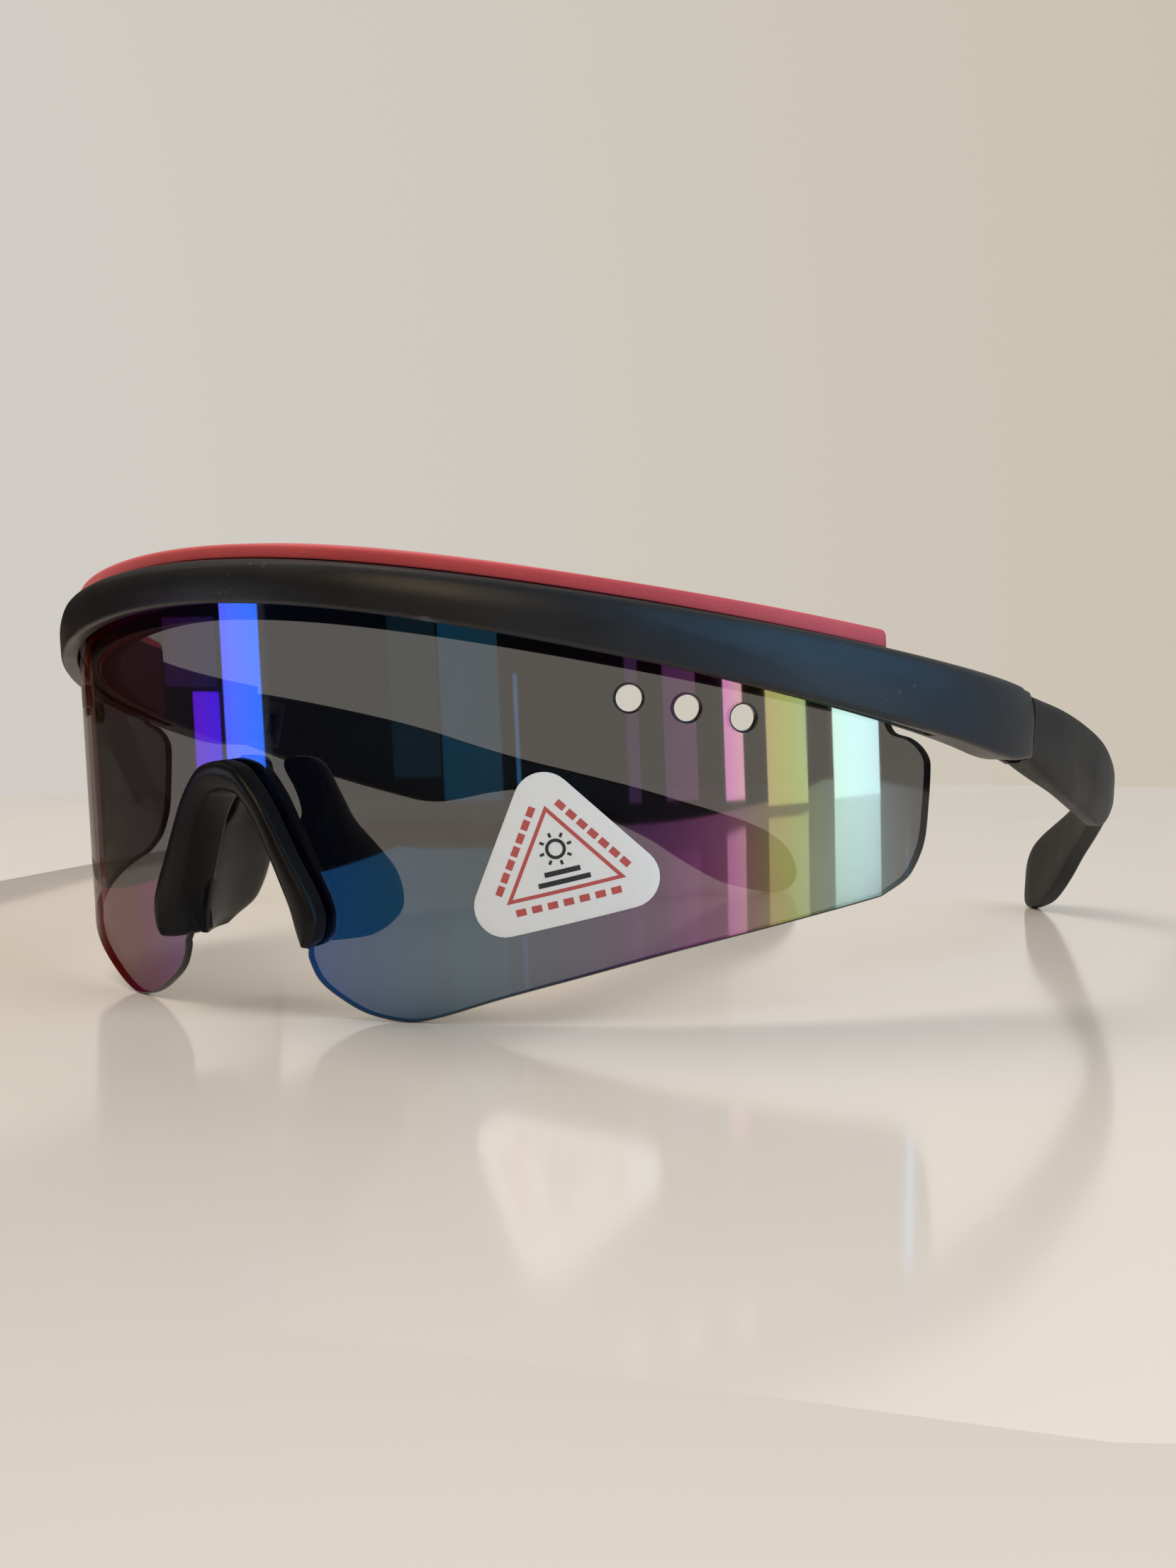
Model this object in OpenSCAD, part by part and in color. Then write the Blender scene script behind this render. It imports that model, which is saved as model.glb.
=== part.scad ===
// Wrap-round sports sunglasses with a one-piece mirrored shield lens, a half-frame brow bar,
// a sweat pad behind the bar, a clip-on nosepiece and two folding temples on screw hinges.
//
// Everything on the face is drawn upright on one curve: s is the distance round the lens's outer
// face from the middle, n the distance outwards from that face, z the height above the lens's
// lowest point. The stand() module then leans the whole piece so that it rests on its two lens
// lobes and its two temple tips. X is the wearer's left, the lens faces -Y, Z is up.

/* [Shield lens] */
// Radius of the lens's outer face
lens_r = 71.3; // [66:0.5:78]
// Thickness of the lens
lens_t = 1.1; // [0.9:0.1:2]
// Angle from the middle of the lens round to its end
lens_wrap = 76; // [72:0.5:79]
// Height of the lens from its lobes to the bar's front lip
lens_h = 51.7; // [46:0.5:56]
// Radius of a vent hole
vent_r = 1.6; // [1:0.1:2]
// Distance from one vent hole to the next
vent_pitch = 7; // [5:0.1:9]
// Distance of the middle vent hole from the middle of the lens
vent_s = 60; // [50:1:66]
// Depth of the middle vent hole below the bar's front lip
vent_drop = 4.5; // [3.5:0.1:8]

/* [Brow bar] */
// Height of the bar's front at its middle
bar_h = 5.4; // [5:0.1:8]
// Thickness of the bar's front lip
lip_front_t = 2.4; // [2:0.05:3.5]
// Thickness of the bar's rear lip
lip_rear_t = 1.2; // [1:0.1:2]
// Thickness of the bar at the hinge
bar_end_t = 5; // [4.8:0.1:5.6]
// Depth of the groove that holds the lens
groove_d = 3; // [2:0.1:3.6]
// Distance that the rear lip hangs below the front lip, at the middle
lip_rear_drop = 2.2; // [1:0.1:3]
// Length of the bar from the lens's end to the hinge
bar_end_l = 21.5; // [18:0.5:24]
// Radius of the bar's bend beyond the lens
bar_end_r = 55; // [46:1:60]

/* [Sweat pad] */
// Thickness of the pad
pad_t = 4; // [3:0.1:5]
// Height that the pad stands above the bar
pad_proud = 1.8; // [1:0.1:3]
// How far the pad laps forward over the bar's top
pad_lap = 2.1; // [0.5:0.1:2.4]
// Distance along the lens from its end back to the pad's end
pad_end_gap = 6.5; // [3:0.5:14]

/* [Nosepiece] */
// Height of the nose arch above the lens's lobes
nose_h = 31.6; // [30:0.2:34]
// Half the width of the nosepiece's rim at its feet
nose_half_w = 13.8; // [13:0.1:16]
// Distance that the rim stands in front of the lens
rim_front_t = 3; // [2:0.1:4]
// Distance that the rim stands behind the lens
rim_rear_t = 2.4; // [1.5:0.1:3]
// Depth of the nose pads behind the lens's front
wing_d = 17; // [14:0.2:20]
// Thickness of a nose pad
wing_t = 1.9; // [1.5:0.1:2.4]

/* [Temples] */
// Length of a temple along its outer face
arm_l = 115; // [100:1:120]
// Height of a temple at its hinge
arm_h = 9.2; // [8.8:0.1:10]
// Thickness of a temple past its hinge
arm_t = 3.1; // [2.6:0.1:3.6]

/* [Hinges] */
// Angle that the hinge's top leans back from the lens's upright
hinge_tilt = 16; // [12:1:20]
// Radius of a hinge knuckle
knuckle_r = 1.9; // [1.7:0.05:2]
// Height of the bar's middle knuckle
tongue_h = 3; // [2.4:0.1:3.4]
// Radius of the hinge screw's shank
screw_r = 0.7; // [0.6:0.05:0.8]
// Radius of the hinge screw's head
screw_head_r = 1.35; // [1.1:0.05:1.4]

/* [Label] */
// Radius of the label's round corners
label_corner_r = 3.7; // [2:0.1:4]
// Thickness of the label
label_t = 0.15; // [0.1:0.05:0.3]

/* [Hidden] */
$fn = 96;

// Clearances: lens in its grooves and above it, pad behind the bar, hinge seam and knuckles, screw
// in its bores
groove_gap = 0.15;
seat_gap = 1;
pad_gap = 0.1;
seam_gap = 0.35;
knuckle_gap = 0.3;
screw_fit = 0.05;
screw_grip = 0.02;
// Gap under the label, and the overrun of every cut
label_gap = 0.02;
over = 1;
// Thickness at which a swept shape ends
thin = 0.3;

// Half the length of the lens and of the pad round the lens's outer face
deg = 180 / PI;
lens_half = lens_r * lens_wrap / deg;
pad_half = lens_half - pad_end_gap;
// Distance round the curve and the whole turn at the hinge
seam_s = lens_half + bar_end_l;
seam_turn = lens_wrap + bar_end_l / bar_end_r * deg;

// Point at distance s round the curve and n outside it, seen from above; s may be negative
function turn_at(s) = abs(s) <= lens_half
    ? abs(s) / lens_r * deg
    : lens_wrap + (abs(s) - lens_half) / bar_end_r * deg;
function side_of(s) = s < 0 ? -1 : 1;
function curve_x(s) = abs(s) <= lens_half
    ? lens_r * sin(turn_at(s))
    : lens_r * sin(lens_wrap) + bar_end_r * (sin(turn_at(s)) - sin(lens_wrap));
function curve_y(s) = abs(s) <= lens_half
    ? lens_r * (1 - cos(turn_at(s)))
    : lens_r * (1 - cos(lens_wrap)) + bar_end_r * (cos(lens_wrap) - cos(turn_at(s)));
function on_face(s, n, z) = [
    side_of(s) * (curve_x(s) + n * sin(turn_at(s))),
    curve_y(s) - n * cos(turn_at(s)),
    z
];
// Direction in which the curve runs on, away from the middle
function along(s) = [side_of(s) * cos(turn_at(s)), sin(turn_at(s)), 0];

// Smooth curve through a table of [place, value] pairs
function slope_at(t, i) = let(a = max(i - 1, 0), b = min(i + 1, len(t) - 1))
    (t[b][1] - t[a][1]) / (t[b][0] - t[a][0]);
function span_of(t, x, i = 0) = i >= len(t) - 2 || x < t[i + 1][0] ? i : span_of(t, x, i + 1);
function smooth(t, x) = let(
        i = span_of(t, x),
        w = t[i + 1][0] - t[i][0],
        u = min(max((x - t[i][0]) / w, 0), 1)
    )
    t[i][1] * (2 * u * u * u - 3 * u * u + 1) + w * slope_at(t, i) * (u * u * u - 2 * u * u + u)
    + t[i + 1][1] * (3 * u * u - 2 * u * u * u) + w * slope_at(t, i + 1) * (u * u * u - u * u);

// Solid between closed rings that all have the same number of points
function quads(rings, count) = [
    for (i = [0 : rings - 2], j = [0 : count - 1], half = [0, 1])
        let(a = i * count + j, b = i * count + (j + 1) % count)
        half == 0 ? [a, b, b + count] : [a, b + count, a + count]
];
module loft(rings) {
    count = len(rings[0]);
    last = (len(rings) - 1) * count;
    polyhedron(
        points = [for (ring = rings, p = ring) p],
        faces = concat(
            [[for (j = [count - 1 : -1 : 0]) j]],
            quads(len(rings), count),
            [[for (j = [0 : count - 1]) last + j]]
        ),
        convexity = 6
    );
}

// Heights of the bar's lower front lip and of its top: each starts level and runs on in a line
lip_fall_share = 0.34;
lip_bend = 0.87 * lens_h;
top_fall_share = 0.27;
top_bend = 0.87 * lens_h;
function lip_z(s) = lens_h - lip_fall_share * (sqrt(s * s + lip_bend * lip_bend) - lip_bend);
function top_z(s) = lens_h + bar_h
    - top_fall_share * (sqrt(s * s + top_bend * top_bend) - top_bend);
// The bar's lower corner at the hinge is rounded up
bar_corner_l = 0.52 * bar_end_l;
bar_corner_h = 0.38 * bar_end_t;
function bar_low(s) = lip_z(s)
    + bar_corner_h * pow(max(0, 1 - (seam_s - s) / bar_corner_l), 2);
// The rear lip hangs lower in the middle and meets the front lip's line near the pad's end
function drop_at(s) = lip_rear_drop * max(0, 1 - pow(s / pad_half, 2));

// Pitch at which the whole piece rests: the line from the lens's lobe to the temple's tip
lobe_s = 0.255 * lens_half;
lobe_pos = on_face(lobe_s, 0, 0);

// Fall of the row of vent holes, as a share of its length
vent_fall_share = 0.22;
// Outline of the lens's lower edge from the nose notch outwards, as shares of lens_half and lens_h
edge_shares = [
    [0.1137, 0.166], [0.1142, 0.143], [0.128, 0.095], [0.156, 0.056], [0.2, 0.017],
    [0.255, 0], [0.3, 0.012], [0.375, 0.051], [0.467, 0.092], [0.61, 0.149], [0.77, 0.197],
    [0.905, 0.23]
];
// The lens's end: a corner below, a leaning side and a shoulder that runs in under the bar
end_shares = [
    [0.936, 0.252], [0.959, 0.278], [0.984, 0.347], [0.995, 0.447], [1, 0.52], [0.9985, 0.55],
    [0.986, 0.58], [0.966, 0.604], [0.938, 0.622], [0.926, 0.66]
];
// Edge of the nose notch from its top outwards, as shares of nose_half_w and nose_h
notch_shares = [
    [0, 0.941], [0.12, 0.934], [0.22, 0.914], [0.4, 0.85], [0.53, 0.755], [0.62, 0.637],
    [0.68, 0.512], [0.71, 0.4], [0.712, 0.31]
];
// Outer and inner edges of the nosepiece's rim, as shares of nose_half_w and nose_h
rim_outer_shares = [
    [0, 1.02], [0.14, 1.01], [0.28, 0.98], [0.47, 0.88], [0.62, 0.761], [0.775, 0.63],
    [0.92, 0.516], [0.995, 0.435], [1, 0.375], [0.965, 0.325], [0.9, 0.302]
];
rim_inner_shares = [
    [0, 0.9], [0.1, 0.893], [0.2, 0.873], [0.36, 0.786], [0.475, 0.677], [0.575, 0.575],
    [0.69, 0.45], [0.755, 0.357], [0.81, 0.307]
];
// Inner edge of the rim's rear half, which reaches past the lens's edge at the feet
rim_lip_shares = [
    [0, 0.89], [0.1, 0.883], [0.2, 0.863], [0.345, 0.776], [0.46, 0.667], [0.555, 0.565],
    [0.64, 0.45], [0.67, 0.357], [0.68, 0.307]
];
// Refined copy of a table of outline points, by the curve through four neighbours
function knot(t, i) = t[min(max(i, 0), len(t) - 1)];
function refine(t, steps) = [
    for (i = [0 : len(t) - 2], k = [0 : steps - (i == len(t) - 2 ? 0 : 1)])
        let(u = k / steps, a = knot(t, i - 1), b = knot(t, i), c = knot(t, i + 1), e = knot(t, i + 2))
        0.5 * (2 * b + (c - a) * u + (2 * a - 5 * b + 4 * c - e) * u * u
            + (3 * b - a - 3 * c + e) * u * u * u)
];
// Sized points of a table, as [s, z]
function sized(t, w, h) = [for (p = t) [p[0] * w, p[1] * h]];
function reversed(t) = [for (i = [len(t) - 1 : -1 : 0]) t[i]];
function mirrored(t) = [for (p = t) [-p[0], p[1]]];
// Front view of [s, z] points on the face
function front_view(t) = [for (p = t) [side_of(p[0]) * curve_x(p[0]), p[1]]];

// Ring of the curved face between two distances outside the lens's front
module face_shell(n_in, n_out) {
    translate([0, lens_r, -over])
        difference() {
            cylinder(r = lens_r + n_out, h = lens_h + bar_h + 2 * over, $fn = 360);
            translate([0, 0, -over])
                cylinder(r = lens_r + n_in, h = lens_h + bar_h + 4 * over, $fn = 360);
        }
}
// Part of that ring inside an outline drawn in the front view
module face_plate(n_in, n_out, outline) {
    intersection() {
        face_shell(n_in, n_out);
        rotate([90, 0, 0])
            translate([0, 0, -lens_r])
                linear_extrude(height = lens_r + over + n_out + over)
                    polygon(front_view(outline));
    }
}

// Hinge: its place on the curve, and the frame that its pieces are drawn in, with X outwards,
// Y back along the temple and Z along the screw
axis_n = knuckle_r + lip_front_t + groove_gap - bar_end_t;
hinge_z = (lip_z(seam_s) + top_z(seam_s)) / 2;
hinge_pos = on_face(seam_s, axis_n, hinge_z);
hinge_turn = seam_turn - 90;
module hinge_frame(side) {
    mirror([side < 0 ? 1 : 0, 0, 0])
        translate(hinge_pos)
            rotate([0, 0, hinge_turn])
                rotate([-hinge_tilt, 0, 0])
                    children();
}
function from_hinge(p) = let(
        q = [
            p[0],
            p[1] * cos(hinge_tilt) + p[2] * sin(hinge_tilt),
            p[2] * cos(hinge_tilt) - p[1] * sin(hinge_tilt)
        ]
    )
    hinge_pos + [
        q[0] * cos(hinge_turn) - q[1] * sin(hinge_turn),
        q[0] * sin(hinge_turn) + q[1] * cos(hinge_turn),
        q[2]
    ];

// Temple: plan of its outer face in three arcs, each with its share of the length and its turn
arm_arc_shares = [0.3, 0.36, 0.34];
arm_arc_turns = [4.4, 23, 11];
arm_start_x = bar_end_t - knuckle_r;
function arm_turn(t) = let(
        a = arm_arc_shares[0] * arm_l,
        b = arm_arc_shares[1] * arm_l,
        c = arm_arc_shares[2] * arm_l
    )
    t < a ? arm_arc_turns[0] * t / a
    : t < a + b ? arm_arc_turns[0] + arm_arc_turns[1] * (t - a) / b
    : arm_arc_turns[0] + arm_arc_turns[1] + arm_arc_turns[2] * (t - a - b) / c;
arm_steps = 56;
arm_step = arm_l / arm_steps;
// Places of the outer face at even steps of length, summed from the hinge on
function arm_path(i = 0, p = [arm_start_x, 0], path = []) = i > arm_steps
    ? path
    : arm_path(
        i + 1,
        p + arm_step * [-sin(arm_turn((i + 0.5) * arm_step)), cos(arm_turn((i + 0.5) * arm_step))],
        concat(path, [p])
    );
arm_places = arm_path();
function arm_place(t) = let(
        i = min(floor(t / arm_step), arm_steps - 1),
        u = t / arm_step - i
    )
    arm_places[i] * (1 - u) + arm_places[i + 1] * u;
// Upper and lower edges of the temple from the hinge's middle, as shares of arm_l and arm_h
arm_top_shares = [
    [0, 0.52], [0.12, 0.62], [0.24, 0.665], [0.33, 0.65], [0.42, 0.57], [0.5, 0.51],
    [0.6, 0.465], [0.7, 0.4], [0.79, 0.285], [0.86, 0.185], [0.91, 0.08], [0.95, -0.08],
    [0.98, -0.32], [0.995, -0.58], [1, -0.76]
];
arm_low_shares = [
    [0, -0.44], [0.1, -0.58], [0.22, -0.665], [0.3, -0.7], [0.335, -0.705], [0.37, -0.65],
    [0.41, -0.49], [0.46, -0.26], [0.51, -0.1], [0.56, -0.095], [0.62, -0.2], [0.7, -0.43],
    [0.75, -0.61], [0.8, -0.87], [0.87, -1.17], [0.92, -1.235], [0.96, -1.225], [0.985, -1.12],
    [0.996, -0.97], [1, -0.84]
];
function arm_top(t) = arm_h * smooth(arm_top_shares, t / arm_l);
function arm_low(t) = arm_h * smooth(arm_low_shares, t / arm_l);
// Thickness: full at the hinge, arm_t past it, thinner towards the rounded end of the tail
hinge_blend_l = 0.16 * arm_l;
function arm_thick(t) = let(
        near = max(0, 1 - t / hinge_blend_l),
        far = max(0, t / arm_l - 0.93) / 0.07
    )
    arm_t + (bar_end_t - arm_t) * near * near * (3 - 2 * near)
    - (arm_t - 2 * thin) * (1 - sqrt(max(0, 1 - far * far)));
// Points of a temple's ring: a rounded oblong, flatter on its sides
ring_points = 16;
function squared(a) = sign(a) * pow(abs(a), 0.45);
function arm_ring(t) = let(
        p = arm_place(t),
        a = arm_turn(t),
        mid = (arm_top(t) + arm_low(t)) / 2,
        half_h = (arm_top(t) - arm_low(t)) / 2,
        half_t = arm_thick(t) / 2
    )
    [
        for (k = [0 : ring_points - 1])
            let(
                b = 360 * (k + 0.5) / ring_points,
                n = half_t * (squared(cos(b)) - 1),
                v = mid + half_h * squared(sin(b))
            )
            [p[0] + n * cos(a), seam_gap / 2 + p[1] + n * sin(a), v]
    ];
arm_stations = concat(
    [for (i = [0 : 44]) arm_l * 0.93 * i / 44],
    [for (i = [1 : 7]) arm_l * (0.93 + 0.07 * sin(90 * i / 7))]
);
arm_rings = [for (t = arm_stations) arm_ring(t)];

// How the whole piece stands: leaned about X so that lobe and tip both reach the ground
tip_points = [for (i = [30 : len(arm_rings) - 1], p = arm_rings[i]) from_hinge(p)];
function lean_to(p) = atan2(lobe_pos[2] - p[2], p[1] - lobe_pos[1]);
rest_lean = max([for (p = tip_points) lean_to(p)]);
function leaned(p) = [
    p[0],
    p[1] * cos(rest_lean) - p[2] * sin(rest_lean),
    p[1] * sin(rest_lean) + p[2] * cos(rest_lean)
];
ground = min([for (p = refine(edge_shares, 6)) leaned(on_face(p[0] * lens_half, 0, p[1] * lens_h))[2]]);
bar_front = leaned(on_face(0, lip_front_t + groove_gap, lens_h + bar_h * 0.6))[1];
tail_back = max([for (p = tip_points) leaned(p)[1]]);
middle_y = (bar_front + tail_back) / 2;
module stand() {
    translate([0, -middle_y, -ground])
        rotate([rest_lean, 0, 0])
            children();
}
function stood(p) = leaned(p) - [0, middle_y, ground];

// Lens: a slice of a cylinder with an exact outer and inner face
module lens() {
    color([0.36, 0.33, 0.42, 0.6])
        stand()
            difference() {
                face_lens();
                for (side = [-1, 1], i = [-1 : 1])
                    vent_hole(side, i);
            }
}
module vent_hole(side, i) {
    s = vent_s + i * vent_pitch;
    translate([0, lens_r, lip_z(vent_s) - vent_drop - i * vent_pitch * vent_fall_share])
        rotate([0, 0, side * turn_at(s)])
            rotate([90, 0, 0])
                cylinder(r = vent_r, h = lens_r + over, $fn = 48);
}
// Height of the lens's top edge, inside the bar's groove
function lens_top(s) = lip_z(s) + groove_d - seat_gap;
lens_edge = concat(
    refine(sized(notch_shares, nose_half_w, nose_h), 3),
    refine(sized(edge_shares, lens_half, lens_h), 4)
);
module face_lens() {
    far_s = 0.74 * lens_half;
    top_edge = [for (i = [12 : -1 : 0]) let(s = far_s * i / 12) [s, lens_top(s)]];
    low_edge = [for (p = lens_edge) if (p[0] < far_s) p];
    full = concat(reversed(mirrored(low_edge)), low_edge, top_edge, reversed(mirrored(top_edge)));
    union() {
        face_plate(-lens_t, 0, clean(full));
        for (side = [-1, 1])
            lens_end(side, far_s);
    }
}
// Outline without points that repeat
function clean(t) = [
    for (i = [0 : len(t) - 1])
        let(q = t[(i + 1) % len(t)])
        if (norm(t[i] - q) > label_gap) t[i]
];
// End of the lens, cut square to the curve at that place
module lens_end(side, far_s) {
    mid_s = (far_s + lens_half) / 2;
    low = [for (p = lens_edge) if (p[0] > far_s) p];
    first = [far_s, lens_edge[len(lens_edge) - len(low) - 1][1]];
    end = refine(sized(end_shares, lens_half, lens_h), 4);
    last = lens_half * end_shares[len(end_shares) - 1][0];
    above = [for (i = [0 : 6]) let(s = last + (far_s - last) * i / 6) [s, lens_top(s)]];
    outline = concat([first], low, end, above);
    intersection() {
        face_shell(-lens_t, 0);
        translate([0, lens_r, 0])
            rotate([0, 0, side * turn_at(mid_s)])
                rotate([90, 0, 0])
                    linear_extrude(height = lens_r + over)
                        polygon([
                            for (p = clean(outline))
                                [side * lens_r * sin((p[0] - mid_s) / lens_r * deg), p[1]]
                        ]);
    }
}

// Brow bar: grooved where it holds the lens, solid beyond, with the hinge tongues at its ends
bar_stations = concat(
    [for (i = [0 : 28]) (lens_half + 2 * groove_gap) * i / 28],
    [for (i = [0 : 7]) lens_half + 2 * thin + (bar_end_l - 2 * thin) * i / 7]
);
function bar_inside(s) = let(
        u = min(max((s - lens_half) / bar_end_l, 0), 1),
        full = lens_t + groove_gap + lip_rear_t,
        end = bar_end_t - lip_front_t - groove_gap
    )
    full + (end - full) * u * u * (3 - 2 * u);
function bar_ring(s, side) = let(
        far = s > lens_half + 2.5 * groove_gap,
        low = bar_low(s),
        top = top_z(s),
        h = top - low,
        out = lip_front_t + groove_gap,
        inside = bar_inside(s),
        rear_low = far ? low : low - drop_at(s),
        soft = 0.14 * lip_front_t,
        inner = 2 * soft - inside,
        wide = out - soft - inner,
        under = function(w) [inner + w * wide, low - soft / 2 * sin(180 * w)],
        u = min(max((s - lens_half) / bar_end_l, 0), 1),
        section = [
            [out - soft, low], [out, low + soft], [out, low + 0.6 * h], [out - soft, low + 0.8 * h],
            [out - 3 * soft, top - soft], [out - 5 * soft, top],
            [soft - inside, top], [-inside, top - soft], [-inside, rear_low + soft],
            [inner, rear_low],
            far ? under(0.2) : [-lens_t - groove_gap, rear_low],
            far ? under(0.4) : [-lens_t - groove_gap, low + groove_d],
            far ? under(0.6) : [groove_gap, low + groove_d],
            far ? under(0.8) : [groove_gap, low]
        ]
    )
    [
        for (p = section)
            on_face(side * s, p[0], p[1])
            + u * (u * tan(hinge_tilt) * (p[1] - hinge_z) - seam_gap / 2) * along(side * s)
    ];
module brow_frame() {
    color([0.13, 0.12, 0.12])
        stand()
            difference() {
                union() {
                    loft(concat(
                        [for (s = reversed(bar_stations)) bar_ring(s, -1)],
                        [for (i = [1 : len(bar_stations) - 1]) bar_ring(bar_stations[i], 1)]
                    ));
                    for (side = [-1, 1])
                        hinge_frame(side)
                            tongue();
                }
                for (side = [-1, 1])
                    hinge_frame(side)
                        bar_pockets();
            }
}
// The bar's middle knuckle, with a neck that runs forward into the bar
module tongue() {
    translate([0, 0, -tongue_h / 2])
        cylinder(r = knuckle_r, h = tongue_h, $fn = 48);
    translate([-knuckle_r, -2 * knuckle_r, -tongue_h / 2])
        cube([2 * knuckle_r, 2 * knuckle_r, tongue_h]);
}
// Room in the bar for the temple's knuckles, and the tongue's bore for the screw
module bar_pockets() {
    room_r = knuckle_r + knuckle_gap;
    for (low = [tongue_h / 2, -tongue_h / 2 - arm_h])
        translate([0, 0, low]) {
            cylinder(r = room_r, h = arm_h, $fn = 48);
            translate([-2 * room_r, -room_r - knuckle_gap / 2, 0])
                cube([2 * room_r, room_r + knuckle_gap / 2 + over, arm_h]);
        }
    translate([0, 0, -tongue_h])
        cylinder(r = screw_r + screw_fit, h = 2 * tongue_h, $fn = 48);
}

// Sweat pad: a rubber strip behind the bar that stands proud of its top
pad_steps = 30;
// The pad is thinner at its ends, by this share
pad_taper_share = 0.6;
// The pad stands prouder at its ends, by this share
pad_rise_share = 0.3;
function pad_ring(s) = let(
        near = -bar_inside(0) - pad_gap,
        far = near - pad_t * (1 - pad_taper_share * pow(s / pad_half, 4)),
        low = lip_z(s) - drop_at(s),
        bar_top = top_z(s) + pad_gap,
        top = top_z(s) + pad_proud * (1 + pad_rise_share * pow(s / pad_half, 2)),
        round = 0.2 * (near - far),
        front = near + pad_lap,
        section = [
            [near, low + round], [near, bar_top], [front, bar_top], [front, top - round],
            [front - round, top], [far + 2 * round, top], [far, top - 2 * round],
            [far, low + 2 * round], [far + 2 * round, low], [near - round, low]
        ]
    )
    [for (p = section) on_face(s, p[0], p[1])];
module brow_pad() {
    color([0.72, 0.2, 0.24])
        stand()
            loft([for (i = [-pad_steps : pad_steps]) pad_ring(pad_half * i / pad_steps)]);
}

// Nosepiece: a rim that hooks over the edge of the nose notch, with two pads behind it
rim_outer = refine(sized(rim_outer_shares, nose_half_w, nose_h), 3);
rim_inner = refine(sized(rim_inner_shares, nose_half_w, nose_h), 3);
rim_lip = refine(sized(rim_lip_shares, nose_half_w, nose_h), 3);
notch_edge = refine(sized(notch_shares, nose_half_w, nose_h), 3);
module nosepiece() {
    color([0.07, 0.07, 0.08])
        stand()
            union() {
                face_plate(groove_gap, rim_front_t, rim_outline(rim_outer, rim_inner));
                face_plate(
                    -lens_t - rim_rear_t, -lens_t - groove_gap, rim_outline(rim_outer, rim_lip)
                );
                face_plate(-lens_t - rim_rear_t, rim_front_t, web_outline());
                for (side = [0, 1])
                    mirror([side, 0, 0])
                        nose_wing();
            }
}
function rim_outline(out, in) = clean(concat(
    reversed(mirrored(out)), out, reversed(in), mirrored(in)
));
// The web fills the rim inside the notch and keeps clear of the notch's edge
function inset(p) = [p[0] * (1 - 2 * groove_gap / nose_half_w), p[1] - 1.5 * groove_gap];
web_low = 0.45 * nose_h;
function web_outline() = let(
        out = [for (p = notch_edge) if (p[1] > web_low) inset(p)],
        in = [for (p = rim_inner) if (p[1] > web_low) p]
    )
    rim_outline(out, in);
// Nose pad: a curved plate from the rim backwards, wider apart below; each row of the table is
// its height, its half width in front and at the rear, its front edge and its rear edge, as shares
// of nose_h, nose_half_w and wing_d
wing_shares = [
    [0.295, 0.66, 0.93, 0.15, 0.6], [0.32, 0.66, 0.97, 0.15, 0.74], [0.37, 0.655, 0.95, 0.15, 0.92],
    [0.44, 0.63, 0.9, 0.16, 0.99], [0.53, 0.6, 0.81, 0.18, 1], [0.62, 0.56, 0.68, 0.2, 0.94],
    [0.71, 0.51, 0.55, 0.23, 0.855], [0.755, 0.485, 0.5, 0.3, 0.82],
    [0.8, 0.455, 0.465, 0.355, 0.795], [0.88, 0.375, 0.4, 0.37, 0.755],
    [0.96, 0.31, 0.35, 0.33, 0.725], [1.02, 0.24, 0.33, 0.27, 0.71]
];
function wing_ring(w) = let(
        z = w[0] * nose_h,
        x_front = w[1] * nose_half_w,
        x_rear = w[2] * nose_half_w,
        y_front = w[3] * wing_d,
        y_rear = w[4] * wing_d,
        half = wing_t / 2
    )
    [
        for (k = [0 : 11])
            let(
                b = 30 * k,
                u = (1 - cos(b)) / 2,
                bow = 0.05 * wing_d * sin(180 * u)
            )
            [
                x_front + (x_rear - x_front) * u - half * squared(sin(b)) + bow,
                y_front + (y_rear - y_front) * u,
                z
            ]
    ];
module nose_wing() {
    rows = refine(wing_shares, 2);
    loft([for (w = rows) wing_ring(w)]);
}

// Temple: a swept arm whose fork takes the bar's tongue
module temple(side) {
    color([0.13, 0.12, 0.12])
        stand()
            hinge_frame(side)
                difference() {
                    union() {
                        loft(arm_rings);
                        fork();
                    }
                    arm_pockets();
                }
}
fork_h = 0.84 * arm_h;
module fork() {
    translate([0, 0, -fork_h / 2])
        cylinder(r = knuckle_r, h = fork_h, $fn = 48);
    translate([-knuckle_r, 0, -fork_h / 2])
        cube([2 * knuckle_r, 2 * knuckle_r, fork_h]);
}
// Room for the tongue, and the bores and the head's seat for the screw
screw_head_h = 0.5 * screw_head_r;
module arm_pockets() {
    room_r = knuckle_r + knuckle_gap;
    room_h = tongue_h + 2 * knuckle_gap;
    translate([0, 0, -room_h / 2])
        cylinder(r = room_r, h = room_h, $fn = 48);
    translate([-2 * room_r, -over, -room_h / 2])
        cube([2 * room_r, room_r + knuckle_gap / 2 + over, room_h]);
    translate([0, 0, -arm_h])
        cylinder(r = screw_r + screw_grip, h = arm_h + screw_top, $fn = 48);
    translate([0, 0, -arm_h])
        cylinder(r = screw_head_r + screw_grip, h = arm_h - fork_h / 2 + screw_head_h, $fn = 48);
}

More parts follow.
